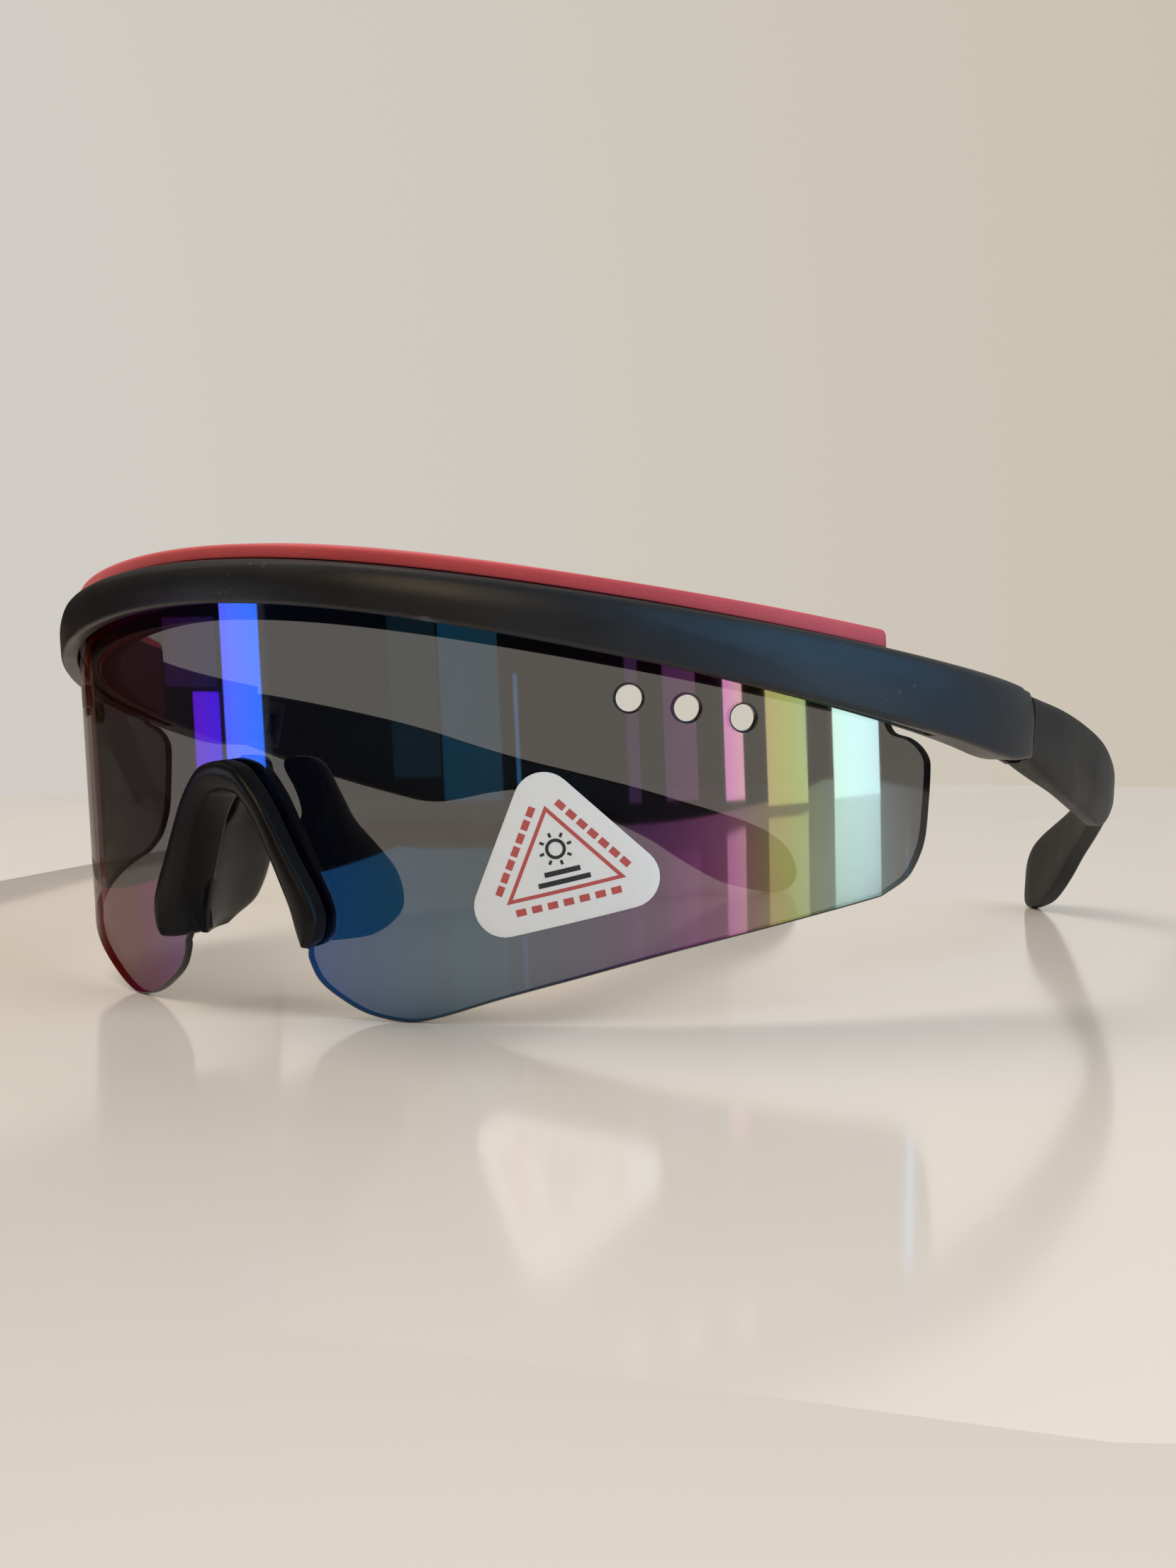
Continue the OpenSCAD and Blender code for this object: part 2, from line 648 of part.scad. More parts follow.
// Hinge screw: driven in from below, its head sunk in the fork and its slot showing
screw_top = fork_h / 2 - 0.6 * knuckle_r;
screw_slot_w = 0.25 * screw_head_r;
module hinge_screw(side) {
    color([0.6, 0.6, 0.62])
        stand()
            hinge_frame(side)
                difference() {
                    union() {
                        translate([0, 0, screw_grip - fork_h / 2])
                            cylinder(r = screw_head_r, h = screw_head_h - 2 * screw_grip, $fn = 48);
                        translate([0, 0, screw_grip - fork_h / 2])
                            cylinder(r = screw_r, h = fork_h / 2 + screw_top - 2 * screw_grip, $fn = 48);
                    }
                    translate([-screw_head_r - over, -screw_slot_w / 2, -fork_h / 2 - over])
                        cube([2 * screw_head_r + 2 * over, screw_slot_w, over + screw_head_h / 2]);
                }
}

// Label: a thin round-cornered triangle on the wearer's left half of the lens; its corner
// centres are shares of lens_half and lens_h
label_shares = [[0.391, 0.273], [0.447, 0.513], [0.551, 0.331]];
label_corners = sized(label_shares, lens_half, lens_h);
function corner_arc(i) = let(
        c = label_corners[i],
        a = label_corners[(i + 2) % 3],
        b = label_corners[(i + 1) % 3],
        from = atan2(c[1] - a[1], c[0] - a[0]) + 90,
        to = atan2(b[1] - c[1], b[0] - c[0]) + 90,
        sweep = to > from ? to - from - 360 : to - from
    )
    [for (k = [0 : 8]) c + label_corner_r * [cos(from + sweep * k / 8), sin(from + sweep * k / 8)]];
module lens_label() {
    color([0.95, 0.95, 0.94])
        stand()
            face_plate(label_gap, label_gap + label_t, [for (i = [0 : 2], p = corner_arc(i)) p]);
}

lens();
brow_frame();
brow_pad();
nosepiece();
temple(1);  // temple_left
temple(-1);  // temple_right
hinge_screw(1);  // hinge_screw_left
hinge_screw(-1);  // hinge_screw_right
lens_label();
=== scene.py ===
"""Looks of the wrap-round sports sunglasses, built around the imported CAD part.

Lengths are in millimetres until a mesh is made, in the same face frame as the part's source:
s runs round the lens's outer face from its middle, n outwards from that face, z upwards.
"""

from math import asin, atan2, cos, hypot, pi, radians, sin, sqrt, tan

import bmesh
import bpy
from mathutils import Matrix, Vector
from mathutils.geometry import delaunay_2d_cdt


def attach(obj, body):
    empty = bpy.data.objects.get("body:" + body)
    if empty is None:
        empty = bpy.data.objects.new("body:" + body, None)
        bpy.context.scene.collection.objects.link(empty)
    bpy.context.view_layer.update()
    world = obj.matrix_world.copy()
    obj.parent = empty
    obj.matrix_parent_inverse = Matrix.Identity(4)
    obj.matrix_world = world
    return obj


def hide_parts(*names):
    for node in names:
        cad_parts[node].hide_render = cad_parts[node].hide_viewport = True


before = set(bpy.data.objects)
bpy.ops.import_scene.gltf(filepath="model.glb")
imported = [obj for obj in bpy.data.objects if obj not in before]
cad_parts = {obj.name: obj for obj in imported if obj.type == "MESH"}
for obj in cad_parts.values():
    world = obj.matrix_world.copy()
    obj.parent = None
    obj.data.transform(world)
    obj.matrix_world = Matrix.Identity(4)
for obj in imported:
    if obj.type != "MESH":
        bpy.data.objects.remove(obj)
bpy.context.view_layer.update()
MM = 0.001

# Shield lens
LENS_R = 71.3
LENS_T = 1.1
LENS_WRAP = 76
LENS_HALF = LENS_R * radians(LENS_WRAP)
LENS_H = 51.7
LENS_EDGE_R = 0.25
LENS_GRID = 2.2
VENT_R = 1.6
VENT_PITCH = 7
VENT_S = 60
VENT_DROP = 4.5
VENT_FALL_SHARE = 0.22

# Brow bar
BAR_H = 5.4
LIP_FRONT_T = 2.4
LIP_REAR_T = 1.2
BAR_END_T = 5
GROOVE_D = 3
LIP_REAR_DROP = 2.2
BAR_END_L = 21.5
BAR_END_R = 55

# Sweat pad
PAD_T = 4
PAD_PROUD = 1.8
PAD_LAP = 2.1
PAD_END_GAP = 6.5
PAD_HALF = LENS_HALF - PAD_END_GAP
PAD_TAPER_SHARE = 0.6
PAD_RISE_SHARE = 0.3

# Nosepiece
NOSE_H = 31.6
NOSE_HALF_W = 13.8
RIM_FRONT_T = 3
RIM_REAR_T = 2.4
WING_D = 17
WING_T = 1.9

# Temples and hinges
ARM_L = 115
ARM_H = 9.2
ARM_T = 3.1
HINGE_TILT = 16
KNUCKLE_R = 1.9
TONGUE_H = 3
SCREW_R = 0.7
SCREW_HEAD_R = 1.35

# Label
LABEL_CORNER_R = 3.7
LABEL_T = 0.15
LABEL_EDGE_R = 0.05
LABEL_GRID = 1.6
INK_T = 0.02
PRINT_SHARE = 0.9
TRIANGLE_LINE_W = 0.45
DASHES = 7
DASH_START_SHARE = 0.12
DASH_OUT_SHARE = 0.3
DASH_HALF_L = 0.62
DASH_W = 0.85
SUN_R = 1.05
SUN_LINE_W = 0.4
SUN_PLACE = (-0.35, 1.7)
RAYS = 8
RAY_FROM, RAY_MID, RAY_TO = 1.5, 1.75, 2.05
RAY_W = 0.34
# Drop below the label's middle and half length of each black bar
PRINT_BARS = ((1.1, 2.2), (2.25, 3.2))
PRINT_BAR_W = 0.62
PRINT_BAR_SHIFT = 0.15

# Clearances
GROOVE_GAP = 0.15
SEAT_GAP = 1
PAD_GAP = 0.1
SEAM_GAP = 0.35
KNUCKLE_GAP = 0.3
SCREW_FIT = 0.05
SCREW_GRIP = 0.02
LABEL_GAP = 0.02
THIN = 0.3
TINY = 0.01

# Outlines as shares of the sizes that they follow, as in the part's source
EDGE_SHARES = [
    (0.1137, 0.166), (0.1142, 0.143), (0.128, 0.095), (0.156, 0.056), (0.2, 0.017),
    (0.255, 0), (0.3, 0.012), (0.375, 0.051), (0.467, 0.092), (0.61, 0.149), (0.77, 0.197),
    (0.905, 0.23),
]
END_SHARES = [
    (0.936, 0.252), (0.959, 0.278), (0.984, 0.347), (0.995, 0.447), (1, 0.52), (0.9985, 0.55),
    (0.986, 0.58), (0.966, 0.604), (0.938, 0.622), (0.926, 0.66),
]
NOTCH_SHARES = [
    (0, 0.941), (0.12, 0.934), (0.22, 0.914), (0.4, 0.85), (0.53, 0.755), (0.62, 0.637),
    (0.68, 0.512), (0.71, 0.4), (0.712, 0.31),
]
RIM_OUTER_SHARES = [
    (0, 1.02), (0.14, 1.01), (0.28, 0.98), (0.47, 0.88), (0.62, 0.761), (0.775, 0.63),
    (0.92, 0.516), (0.995, 0.435), (1, 0.375), (0.965, 0.325), (0.9, 0.302),
]
RIM_INNER_SHARES = [
    (0, 0.9), (0.1, 0.893), (0.2, 0.873), (0.36, 0.786), (0.475, 0.677), (0.575, 0.575),
    (0.69, 0.45), (0.755, 0.357), (0.81, 0.307),
]
WING_SHARES = [
    (0.295, 0.66, 0.93, 0.15, 0.6), (0.32, 0.66, 0.97, 0.15, 0.74), (0.37, 0.655, 0.95, 0.15, 0.92),
    (0.44, 0.63, 0.9, 0.16, 0.99), (0.53, 0.6, 0.81, 0.18, 1), (0.62, 0.56, 0.68, 0.2, 0.94),
    (0.71, 0.51, 0.55, 0.23, 0.855), (0.755, 0.485, 0.5, 0.3, 0.82),
    (0.8, 0.455, 0.465, 0.355, 0.795), (0.88, 0.375, 0.4, 0.37, 0.755),
    (0.96, 0.31, 0.35, 0.33, 0.7), (0.995, 0.28, 0.32, 0.35, 0.62), (1.01, 0.27, 0.3, 0.4, 0.5),
]
ARM_ARC_SHARES = (0.3, 0.36, 0.34)
ARM_ARC_TURNS = (4.4, 23, 11)
ARM_TOP_SHARES = [
    (0, 0.52), (0.12, 0.62), (0.24, 0.665), (0.33, 0.65), (0.42, 0.57), (0.5, 0.51),
    (0.6, 0.465), (0.7, 0.4), (0.79, 0.285), (0.86, 0.185), (0.91, 0.08), (0.95, -0.08),
    (0.98, -0.32), (0.995, -0.58), (1, -0.76),
]
ARM_LOW_SHARES = [
    (0, -0.44), (0.1, -0.58), (0.22, -0.665), (0.3, -0.7), (0.335, -0.705), (0.37, -0.65),
    (0.41, -0.49), (0.46, -0.26), (0.51, -0.1), (0.56, -0.095), (0.62, -0.2), (0.7, -0.43),
    (0.75, -0.61), (0.8, -0.87), (0.87, -1.17), (0.92, -1.235), (0.96, -1.225), (0.985, -1.12),
    (0.996, -0.97), (1, -0.84),
]
LABEL_SHARES = [(0.391, 0.273), (0.551, 0.331), (0.447, 0.513)]

# The face's curve
LENS_TURN = LENS_HALF / LENS_R
SEAM_S = LENS_HALF + BAR_END_L
SEAM_TURN = LENS_TURN + BAR_END_L / BAR_END_R


def turn_at(s):
    s = abs(s)
    if s <= LENS_HALF:
        return s / LENS_R
    return LENS_TURN + (s - LENS_HALF) / BAR_END_R


def on_face(s, n, z):
    """Point of the upright face frame, in millimetres."""
    a = turn_at(s)
    x = LENS_R * sin(min(a, LENS_TURN))
    y = LENS_R * (1 - cos(min(a, LENS_TURN)))
    if a > LENS_TURN:
        x += BAR_END_R * (sin(a) - sin(LENS_TURN))
        y += BAR_END_R * (cos(LENS_TURN) - cos(a))
    side = -1 if s < 0 else 1
    return Vector((side * (x + n * sin(a)), y - n * cos(a), z))


def along(s):
    a = turn_at(s)
    return Vector(((-1 if s < 0 else 1) * cos(a), sin(a), 0))


def smooth(table, x):
    """Smooth curve through a table of (place, value) pairs."""
    i = 0
    while i < len(table) - 2 and x >= table[i + 1][0]:
        i += 1

    def slope(k):
        a, b = max(k - 1, 0), min(k + 1, len(table) - 1)
        return (table[b][1] - table[a][1]) / (table[b][0] - table[a][0])

    w = table[i + 1][0] - table[i][0]
    u = min(max((x - table[i][0]) / w, 0), 1)
    return (table[i][1] * (2 * u**3 - 3 * u**2 + 1) + w * slope(i) * (u**3 - 2 * u**2 + u)
            + table[i + 1][1] * (3 * u**2 - 2 * u**3) + w * slope(i + 1) * (u**3 - u**2))


def refine(table, steps):
    """Catmull-Rom copy of a table of points."""
    rows = [Vector(row) for row in table]
    out = []
    for i in range(len(rows) - 1):
        a, b, c, e = rows[max(i - 1, 0)], rows[i], rows[i + 1], rows[min(i + 2, len(rows) - 1)]
        for k in range(steps):
            u = k / steps
            out.append(0.5 * (2 * b + (c - a) * u + (2 * a - 5 * b + 4 * c - e) * u * u
                              + (3 * b - a - 3 * c + e) * u**3))
    return out + [rows[-1]]


def sized(table, w, h):
    return [(row[0] * w, row[1] * h) for row in table]


# Heights of the bar's lower front lip and of its top
LIP_FALL_SHARE = 0.34
TOP_FALL_SHARE = 0.27
FALL_BEND = 0.87 * LENS_H
BAR_CORNER_L = 0.52 * BAR_END_L
BAR_CORNER_H = 0.38 * BAR_END_T


def lip_z(s):
    return LENS_H - LIP_FALL_SHARE * (hypot(s, FALL_BEND) - FALL_BEND)


def top_z(s):
    return LENS_H + BAR_H - TOP_FALL_SHARE * (hypot(s, FALL_BEND) - FALL_BEND)


def bar_low(s):
    return lip_z(s) + BAR_CORNER_H * max(0, 1 - (SEAM_S - s) / BAR_CORNER_L) ** 2


def drop_at(s):
    return LIP_REAR_DROP * max(0, 1 - (s / PAD_HALF) ** 2)


def lens_top(s):
    return lip_z(s) + GROOVE_D - SEAT_GAP


# Hinges
AXIS_N = KNUCKLE_R + LIP_FRONT_T + GROOVE_GAP - BAR_END_T
HINGE_Z = (lip_z(SEAM_S) + top_z(SEAM_S)) / 2
HINGE_POS = on_face(SEAM_S, AXIS_N, HINGE_Z)
HINGE_TURN = SEAM_TURN - pi / 2
TILT = radians(HINGE_TILT)


def from_hinge(p):
    """Point of the hinge frame (X outwards, Y back, Z along the screw) in the face frame."""
    x, y, z = p
    y, z = y * cos(TILT) + z * sin(TILT), z * cos(TILT) - y * sin(TILT)
    return HINGE_POS + Vector((
        x * cos(HINGE_TURN) - y * sin(HINGE_TURN),
        x * sin(HINGE_TURN) + y * cos(HINGE_TURN),
        z,
    ))


# Temple
ARM_START_X = BAR_END_T - KNUCKLE_R
ARM_STEPS = 56


def arm_turn(t):
    a, b, c = (share * ARM_L for share in ARM_ARC_SHARES)
    first, second, third = ARM_ARC_TURNS
    if t < a:
        return radians(first * t / a)
    if t < a + b:
        return radians(first + second * (t - a) / b)
    return radians(first + second + third * (t - a - b) / c)


def arm_path():
    step = ARM_L / ARM_STEPS
    x, y = ARM_START_X, 0
    path = []
    for i in range(ARM_STEPS + 1):
        path.append((x, y))
        a = arm_turn((i + 0.5) * step)
        x -= step * sin(a)
        y += step * cos(a)
    return path


ARM_PLACES = arm_path()


def arm_place(t):
    step = ARM_L / ARM_STEPS
    i = min(int(t / step), ARM_STEPS - 1)
    u = t / step - i
    (ax, ay), (bx, by) = ARM_PLACES[i], ARM_PLACES[i + 1]
    return ax * (1 - u) + bx * u, ay * (1 - u) + by * u


def arm_top(t):
    return ARM_H * smooth(ARM_TOP_SHARES, t / ARM_L)


def arm_low(t):
    return ARM_H * smooth(ARM_LOW_SHARES, t / ARM_L)


HINGE_BLEND_L = 0.16 * ARM_L
TAIL_SHARE = 0.93


def arm_thick(t):
    near = max(0, 1 - t / HINGE_BLEND_L)
    far = max(0, t / ARM_L - TAIL_SHARE) / (1 - TAIL_SHARE)
    return (ARM_T + (BAR_END_T - ARM_T) * near * near * (3 - 2 * near)
            - (ARM_T - 2 * THIN) * (1 - sqrt(max(0, 1 - far * far))))


# How square a temple's section is: 1 is an ellipse, 0 a rectangle
SQUARE_POWER = 0.45


def squared(a):
    return (1 if a > 0 else -1) * abs(a) ** SQUARE_POWER


def arm_ring(t, count):
    x, y = arm_place(t)
    a = arm_turn(t)
    mid, half_h = (arm_top(t) + arm_low(t)) / 2, (arm_top(t) - arm_low(t)) / 2
    half_t = arm_thick(t) / 2
    ring = []
    for k in range(count):
        b = 2 * pi * (k + 0.5) / count
        n = half_t * (squared(cos(b)) - 1)
        v = mid + half_h * squared(sin(b))
        ring.append((x + n * cos(a), SEAM_GAP / 2 + y + n * sin(a), v))
    return ring


# How the piece stands: leaned about X, moved to the middle of its footprint
LOBE_SHARE = 0.255
LOBE = on_face(LOBE_SHARE * LENS_HALF, 0, 0)
# Rings of the part's own solids, which settle how far the piece leans
SOLID_RINGS = 44
SOLID_TAIL_RINGS = 7
SOLID_SIDES = 16
TIP_RING = 30


def stations(rings, tail_rings):
    """Places of a temple's rings: even along the arm, closer at its rounded tip."""
    tail = 1 - TAIL_SHARE
    return ([ARM_L * TAIL_SHARE * i / rings for i in range(rings + 1)]
            + [ARM_L * (TAIL_SHARE + tail * sin(pi / 2 * i / tail_rings))
               for i in range(1, tail_rings + 1)])


TIPS = [from_hinge(p) for t in stations(SOLID_RINGS, SOLID_TAIL_RINGS)[TIP_RING:]
        for p in arm_ring(t, SOLID_SIDES)]
LEAN = max(atan2(LOBE.z - p.z, p.y - LOBE.y) for p in TIPS)


def leaned(p):
    return Vector((p[0], p[1] * cos(LEAN) - p[2] * sin(LEAN), p[1] * sin(LEAN) + p[2] * cos(LEAN)))


# Height of the bar's foremost point
BAR_FRONT_SHARE = 0.6
GROUND = min(
    leaned(on_face(row[0] * LENS_HALF, 0, row[1] * LENS_H)).z for row in refine(EDGE_SHARES, 6)
)
BAR_FRONT = leaned(on_face(0, LIP_FRONT_T + GROOVE_GAP, LENS_H + BAR_H * BAR_FRONT_SHARE)).y
MIDDLE_Y = (BAR_FRONT + max(leaned(p).y for p in TIPS)) / 2


# From the face frame, in millimetres, to the part's own frame, in metres
STAND = (Matrix.Translation(Vector((0, -MIDDLE_Y, -GROUND)) * MM)
         @ Matrix.Rotation(LEAN, 4, "X") @ Matrix.Scale(MM, 4))


# Meshes
def new_object(name, verts, faces, materials, place=None):
    mesh = bpy.data.meshes.new(name)
    mesh.from_pydata(verts, [], faces)
    mesh.validate()
    if place:
        mesh.transform(place)
    obj = bpy.data.objects.new(name, mesh)
    bpy.context.scene.collection.objects.link(obj)
    for material in materials:
        mesh.materials.append(material)
    return obj


def band(a, b, size, closed=True):
    """Faces between two rows of size points, given by the place of each row's first point."""
    return [(a + i, a + (i + 1) % size, b + (i + 1) % size, b + i)
            for i in range(size if closed else size - 1)]


def loft(rings):
    """Closed mesh through rings of as many points each."""
    count = len(rings[0])
    verts = [p for ring in rings for p in ring]
    faces = [tuple(range(count))[::-1]]
    last = (len(rings) - 1) * count
    for a in range(0, last, count):
        faces += band(a, a + count, count)
    faces.append(tuple(range(last, last + count)))
    return verts, faces


def face_out(mesh):
    """Joins points that coincide and turns the faces outwards."""
    bm = bmesh.new()
    bm.from_mesh(mesh)
    bmesh.ops.remove_doubles(bm, verts=bm.verts, dist=1e-7)
    bmesh.ops.recalc_face_normals(bm, faces=bm.faces)
    bm.to_mesh(mesh)
    bm.free()


def finish_mesh(obj, angle=35):
    """Outward faces, smooth shading with sharp edges kept."""
    mesh = obj.data
    face_out(mesh)
    mesh.shade_smooth()
    mesh.set_sharp_from_angle(angle=radians(angle))
    return obj


def cut(obj, tool, how):
    """Joins or cuts obj with a tool object, which is used up."""
    modifier = obj.modifiers.new("cut", "BOOLEAN")
    modifier.operation = how
    modifier.solver = "EXACT"
    modifier.object = tool
    graph = bpy.context.evaluated_depsgraph_get()
    mesh = bpy.data.meshes.new_from_object(obj.evaluated_get(graph))
    obj.modifiers.clear()
    old = obj.data
    assert len(mesh.polygons) > len(old.polygons) / 2, f"{obj.name}: the {how} lost its faces"
    obj.data = mesh
    bpy.data.meshes.remove(old)
    bpy.data.objects.remove(tool)
    return obj


def fillet(corners, steps=4):
    """Closed outline with each (a, b, radius) corner rounded by an arc of steps + 1 points."""
    out = []
    count = len(corners)
    for i, (x, y, r) in enumerate(corners):
        p = Vector((x, y))
        before = Vector(corners[i - 1][:2]) - p
        after = Vector(corners[(i + 1) % count][:2]) - p
        reach = min(r, 0.49 * before.length, 0.49 * after.length)
        a = p + before.normalized() * reach
        b = p + after.normalized() * reach
        for k in range(steps + 1):
            u = k / steps
            out.append(a * (1 - u) ** 2 + p * 2 * u * (1 - u) + b * u * u)
    return out


def inside(p, loops):
    """Whether a flat point lies inside the first of some closed outlines and outside the rest."""
    odd = False
    x, y = p
    for loop in loops:
        for (x0, y0), (x1, y1) in zip(loop, loop[1:] + loop[:1]):
            if (y0 > y) != (y1 > y) and x < (x1 - x0) * (y - y0) / (y1 - y0) + x0:
                odd = not odd
    return odd


def around(r, count):
    """Counter-clockwise points of a circle about the origin."""
    return [(r * cos(2 * pi * k / count), r * sin(2 * pi * k / count)) for k in range(count)]


def spaced(loop, gap):
    """Outline with points no closer than gap."""
    out = [Vector(loop[0])]
    for p in loop[1:]:
        if (Vector(p) - out[-1]).length > gap:
            out.append(Vector(p))
    while (out[-1] - out[0]).length <= gap:
        out.pop()
    return out


def shrunk(loop, d):
    """Outline moved inwards by d, for a counter-clockwise loop."""
    out = []
    for i, p in enumerate(loop):
        e, f = (p - loop[i - 1]).normalized(), (loop[(i + 1) % len(loop)] - p).normalized()
        m = Vector((-(e.y + f.y), e.x + f.x)).normalized()
        out.append(p + m * d / max(0.5, m.dot(Vector((-e.y, e.x)))))
    return out


# Room between a sheet's outline and the first points of its grid
GRID_MARGIN_SHARE = 0.45
# Rings of a sheet's rounded edge on each side
EDGE_RINGS = 3


def sheet(loops, n_low, n_high, soft, grid):
    """Bent sheet between two distances outside the face, with rounded edges.

    loops are flat (s, z) outlines, the first counter-clockwise and the holes clockwise. Returns
    verts, faces and the material index of each face: 0 outside, 1 rim, 2 inside.
    """
    inner = [shrunk(loop, soft) for loop in loops]
    flat, edges = [], []
    for loop in inner:
        start = len(flat)
        flat += [tuple(p) for p in loop]
        edges += [(start + i, start + (i + 1) % len(loop)) for i in range(len(loop))]
    keep = [[tuple(p) for p in shrunk(loop, grid * GRID_MARGIN_SHARE)] for loop in inner]
    (low_s, high_s), (low_z, high_z) = ((min(side), max(side)) for side in zip(*flat))
    for i in range(int((high_s - low_s) / grid) + 1):
        for j in range(int((high_z - low_z) / grid) + 1):
            p = (low_s + (i + 0.5) * grid, low_z + (j + 0.5 * (i % 2)) * grid)
            if inside(p, keep):
                flat.append(p)
    points, _, tris, _, _, _ = delaunay_2d_cdt([Vector(p) for p in flat], edges, [], 0, 1e-6)
    outlines = [[tuple(p) for p in loop] for loop in inner]
    kept = [tri for tri in tris
            if inside(sum((points[i] for i in tri), Vector((0, 0))) / 3, outlines)]
    count = len(points)
    assert count == len(flat)
    verts = [on_face(p[0], n, p[1]) for n in (n_high, n_low) for p in points]
    faces = [tuple(tri) for tri in kept] + [tuple(i + count for i in tri)[::-1] for tri in kept]
    kinds = [0] * len(kept) + [2] * len(kept)
    turns = [pi / 2 * k / EDGE_RINGS for k in range(EDGE_RINGS + 1)]
    edge = [(soft * sin(a), n_high - soft * (1 - cos(a))) for a in turns[1:]]
    edge += [(soft * cos(a), n_low + soft * (1 - sin(a))) for a in turns[:-1]]
    start = 0
    for loop, full in zip(inner, loops):
        size = len(loop)
        rows = [range(start, start + size)]
        for out, n in edge:
            rows.append(range(len(verts), len(verts) + size))
            for p, q in zip(loop, full):
                e = (q - p) * (out / (q - p).length)
                verts.append(on_face(p.x + e.x, n, p.y + e.y))
        rows.append(range(count + start, count + start + size))
        for a, b in zip(rows, rows[1:]):
            for i in range(size):
                j = (i + 1) % size
                faces.append((a[i], b[i], b[j], a[j]))
                kinds.append(1)
        start += size
    return verts, faces, kinds


# Materials
def feed(tree, socket, v):
    """Gives a socket a value or the output of another node."""
    if isinstance(v, bpy.types.NodeSocket):
        tree.links.new(v, socket)
    else:
        socket.default_value = v


def ramp(tree, value, stops, mode="LINEAR"):
    node = tree.nodes.new("ShaderNodeValToRGB")
    node.color_ramp.interpolation = mode
    points = node.color_ramp.elements
    while len(points) < len(stops):
        points.new(0.5)
    for point, (place, colour) in zip(points, stops):
        point.position = place
        point.color = (*colour, 1)
    feed(tree, node.inputs["Fac"], value)
    return node.outputs["Color"]


def math_node(tree, how, a, b):
    node = tree.nodes.new("ShaderNodeMath")
    node.operation = how
    feed(tree, node.inputs[0], a)
    feed(tree, node.inputs[1], b)
    return node.outputs[0]


def mixed(tree, amount, a, b, how="MIX"):
    node = tree.nodes.new("ShaderNodeMix")
    node.data_type = "RGBA"
    node.blend_type = how
    for place, v in ((0, amount), (6, a), (7, b)):
        feed(tree, node.inputs[place], v)
    return node.outputs[2]


def grey(v):
    return (v, v, v)


class Finish:
    """A material whose looks come from noise on the piece's own coordinates."""

    def __init__(self, name):
        self.material = bpy.data.materials.new(name)
        self.material.use_nodes = True
        self.tree = self.material.node_tree
        self.shader = self.tree.nodes["Principled BSDF"]
        self.coord = self.tree.nodes.new("ShaderNodeTexCoord").outputs["Object"]

    def noise(self, scale, detail=3, rough=0.5):
        node = self.tree.nodes.new("ShaderNodeTexNoise")
        for name, value in (("Scale", scale), ("Detail", detail), ("Roughness", rough)):
            node.inputs[name].default_value = value
        self.tree.links.new(self.coord, node.inputs["Vector"])
        return node.outputs["Fac"]

    def vary(self, name, value, stops, mode="LINEAR"):
        """Feeds one of the shader's inputs from a value through a ramp."""
        self.tree.links.new(ramp(self.tree, value, stops, mode), self.shader.inputs[name])

    def fix(self, **values):
        """Sets what is the same all over the surface."""
        for name, value in values.items():
            self.shader.inputs[name.replace("_", " ")].default_value = value

    def bump(self, height, strength, distance):
        node = self.tree.nodes.new("ShaderNodeBump")
        node.inputs["Strength"].default_value = strength
        node.inputs["Distance"].default_value = distance
        self.tree.links.new(height, node.inputs["Height"])
        self.tree.links.new(node.outputs["Normal"], self.shader.inputs["Normal"])


def mask(tree, value, low, high):
    return ramp(tree, value, [(low, grey(0)), (high, grey(1))])


def moulded(name, base, worn, rough, grain, scuffs, sheen):
    """Moulded plastic: fine grain, patchy tone, rubbed edges and short pale scuffs."""
    look = Finish(name)
    tree = look.tree
    pale = [c * 1.5 + 0.004 for c in base]
    tone = ramp(tree, look.noise(45, 4, 0.6), [(0.3, base), (0.75, pale)])
    geometry = tree.nodes.new("ShaderNodeNewGeometry")
    edge = mask(tree, geometry.outputs["Pointiness"], 0.52, 0.62)
    rub = math_node(tree, "MULTIPLY", edge, look.noise(260, 2))
    specks = mask(tree, look.noise(900, 2, 0.7), 0.66, 0.72)
    marks = math_node(tree, "MULTIPLY", specks, mask(tree, look.noise(38), 0.5, 0.68))
    amount = math_node(tree, "MAXIMUM", rub, math_node(tree, "MULTIPLY", marks, scuffs))
    feed(tree, look.shader.inputs["Base Color"], mixed(tree, amount, tone, (*worn, 1)))
    look.vary("Roughness", look.noise(120), [(0.2, grey(rough - 0.05)), (0.8, grey(rough + 0.09))])
    look.fix(Specular_IOR_Level=sheen)
    look.bump(look.noise(2600, 2, 0.6), grain, 0.0001)
    return look.material


frame_plastic = moulded(
    "frame_plastic", base=(0.0075, 0.0075, 0.0085), worn=(0.14, 0.14, 0.145),
    rough=0.42, grain=0.16, scuffs=0.5, sheen=0.3,
)
temple_plastic = moulded(
    "temple_plastic", base=(0.0085, 0.008, 0.0075), worn=(0.09, 0.08, 0.07),
    rough=0.46, grain=0.22, scuffs=0.35, sheen=0.11,
)


def plain(name, patches, stops, grain=None, **fixed):
    """Surface in faint patches of tone, with a grain of a noise, a strength and a depth."""
    look = Finish(name)
    look.vary("Base Color", look.noise(*patches), stops)
    look.fix(**fixed)
    if grain:
        look.bump(look.noise(*grain[0]), *grain[1:])
    return look.material


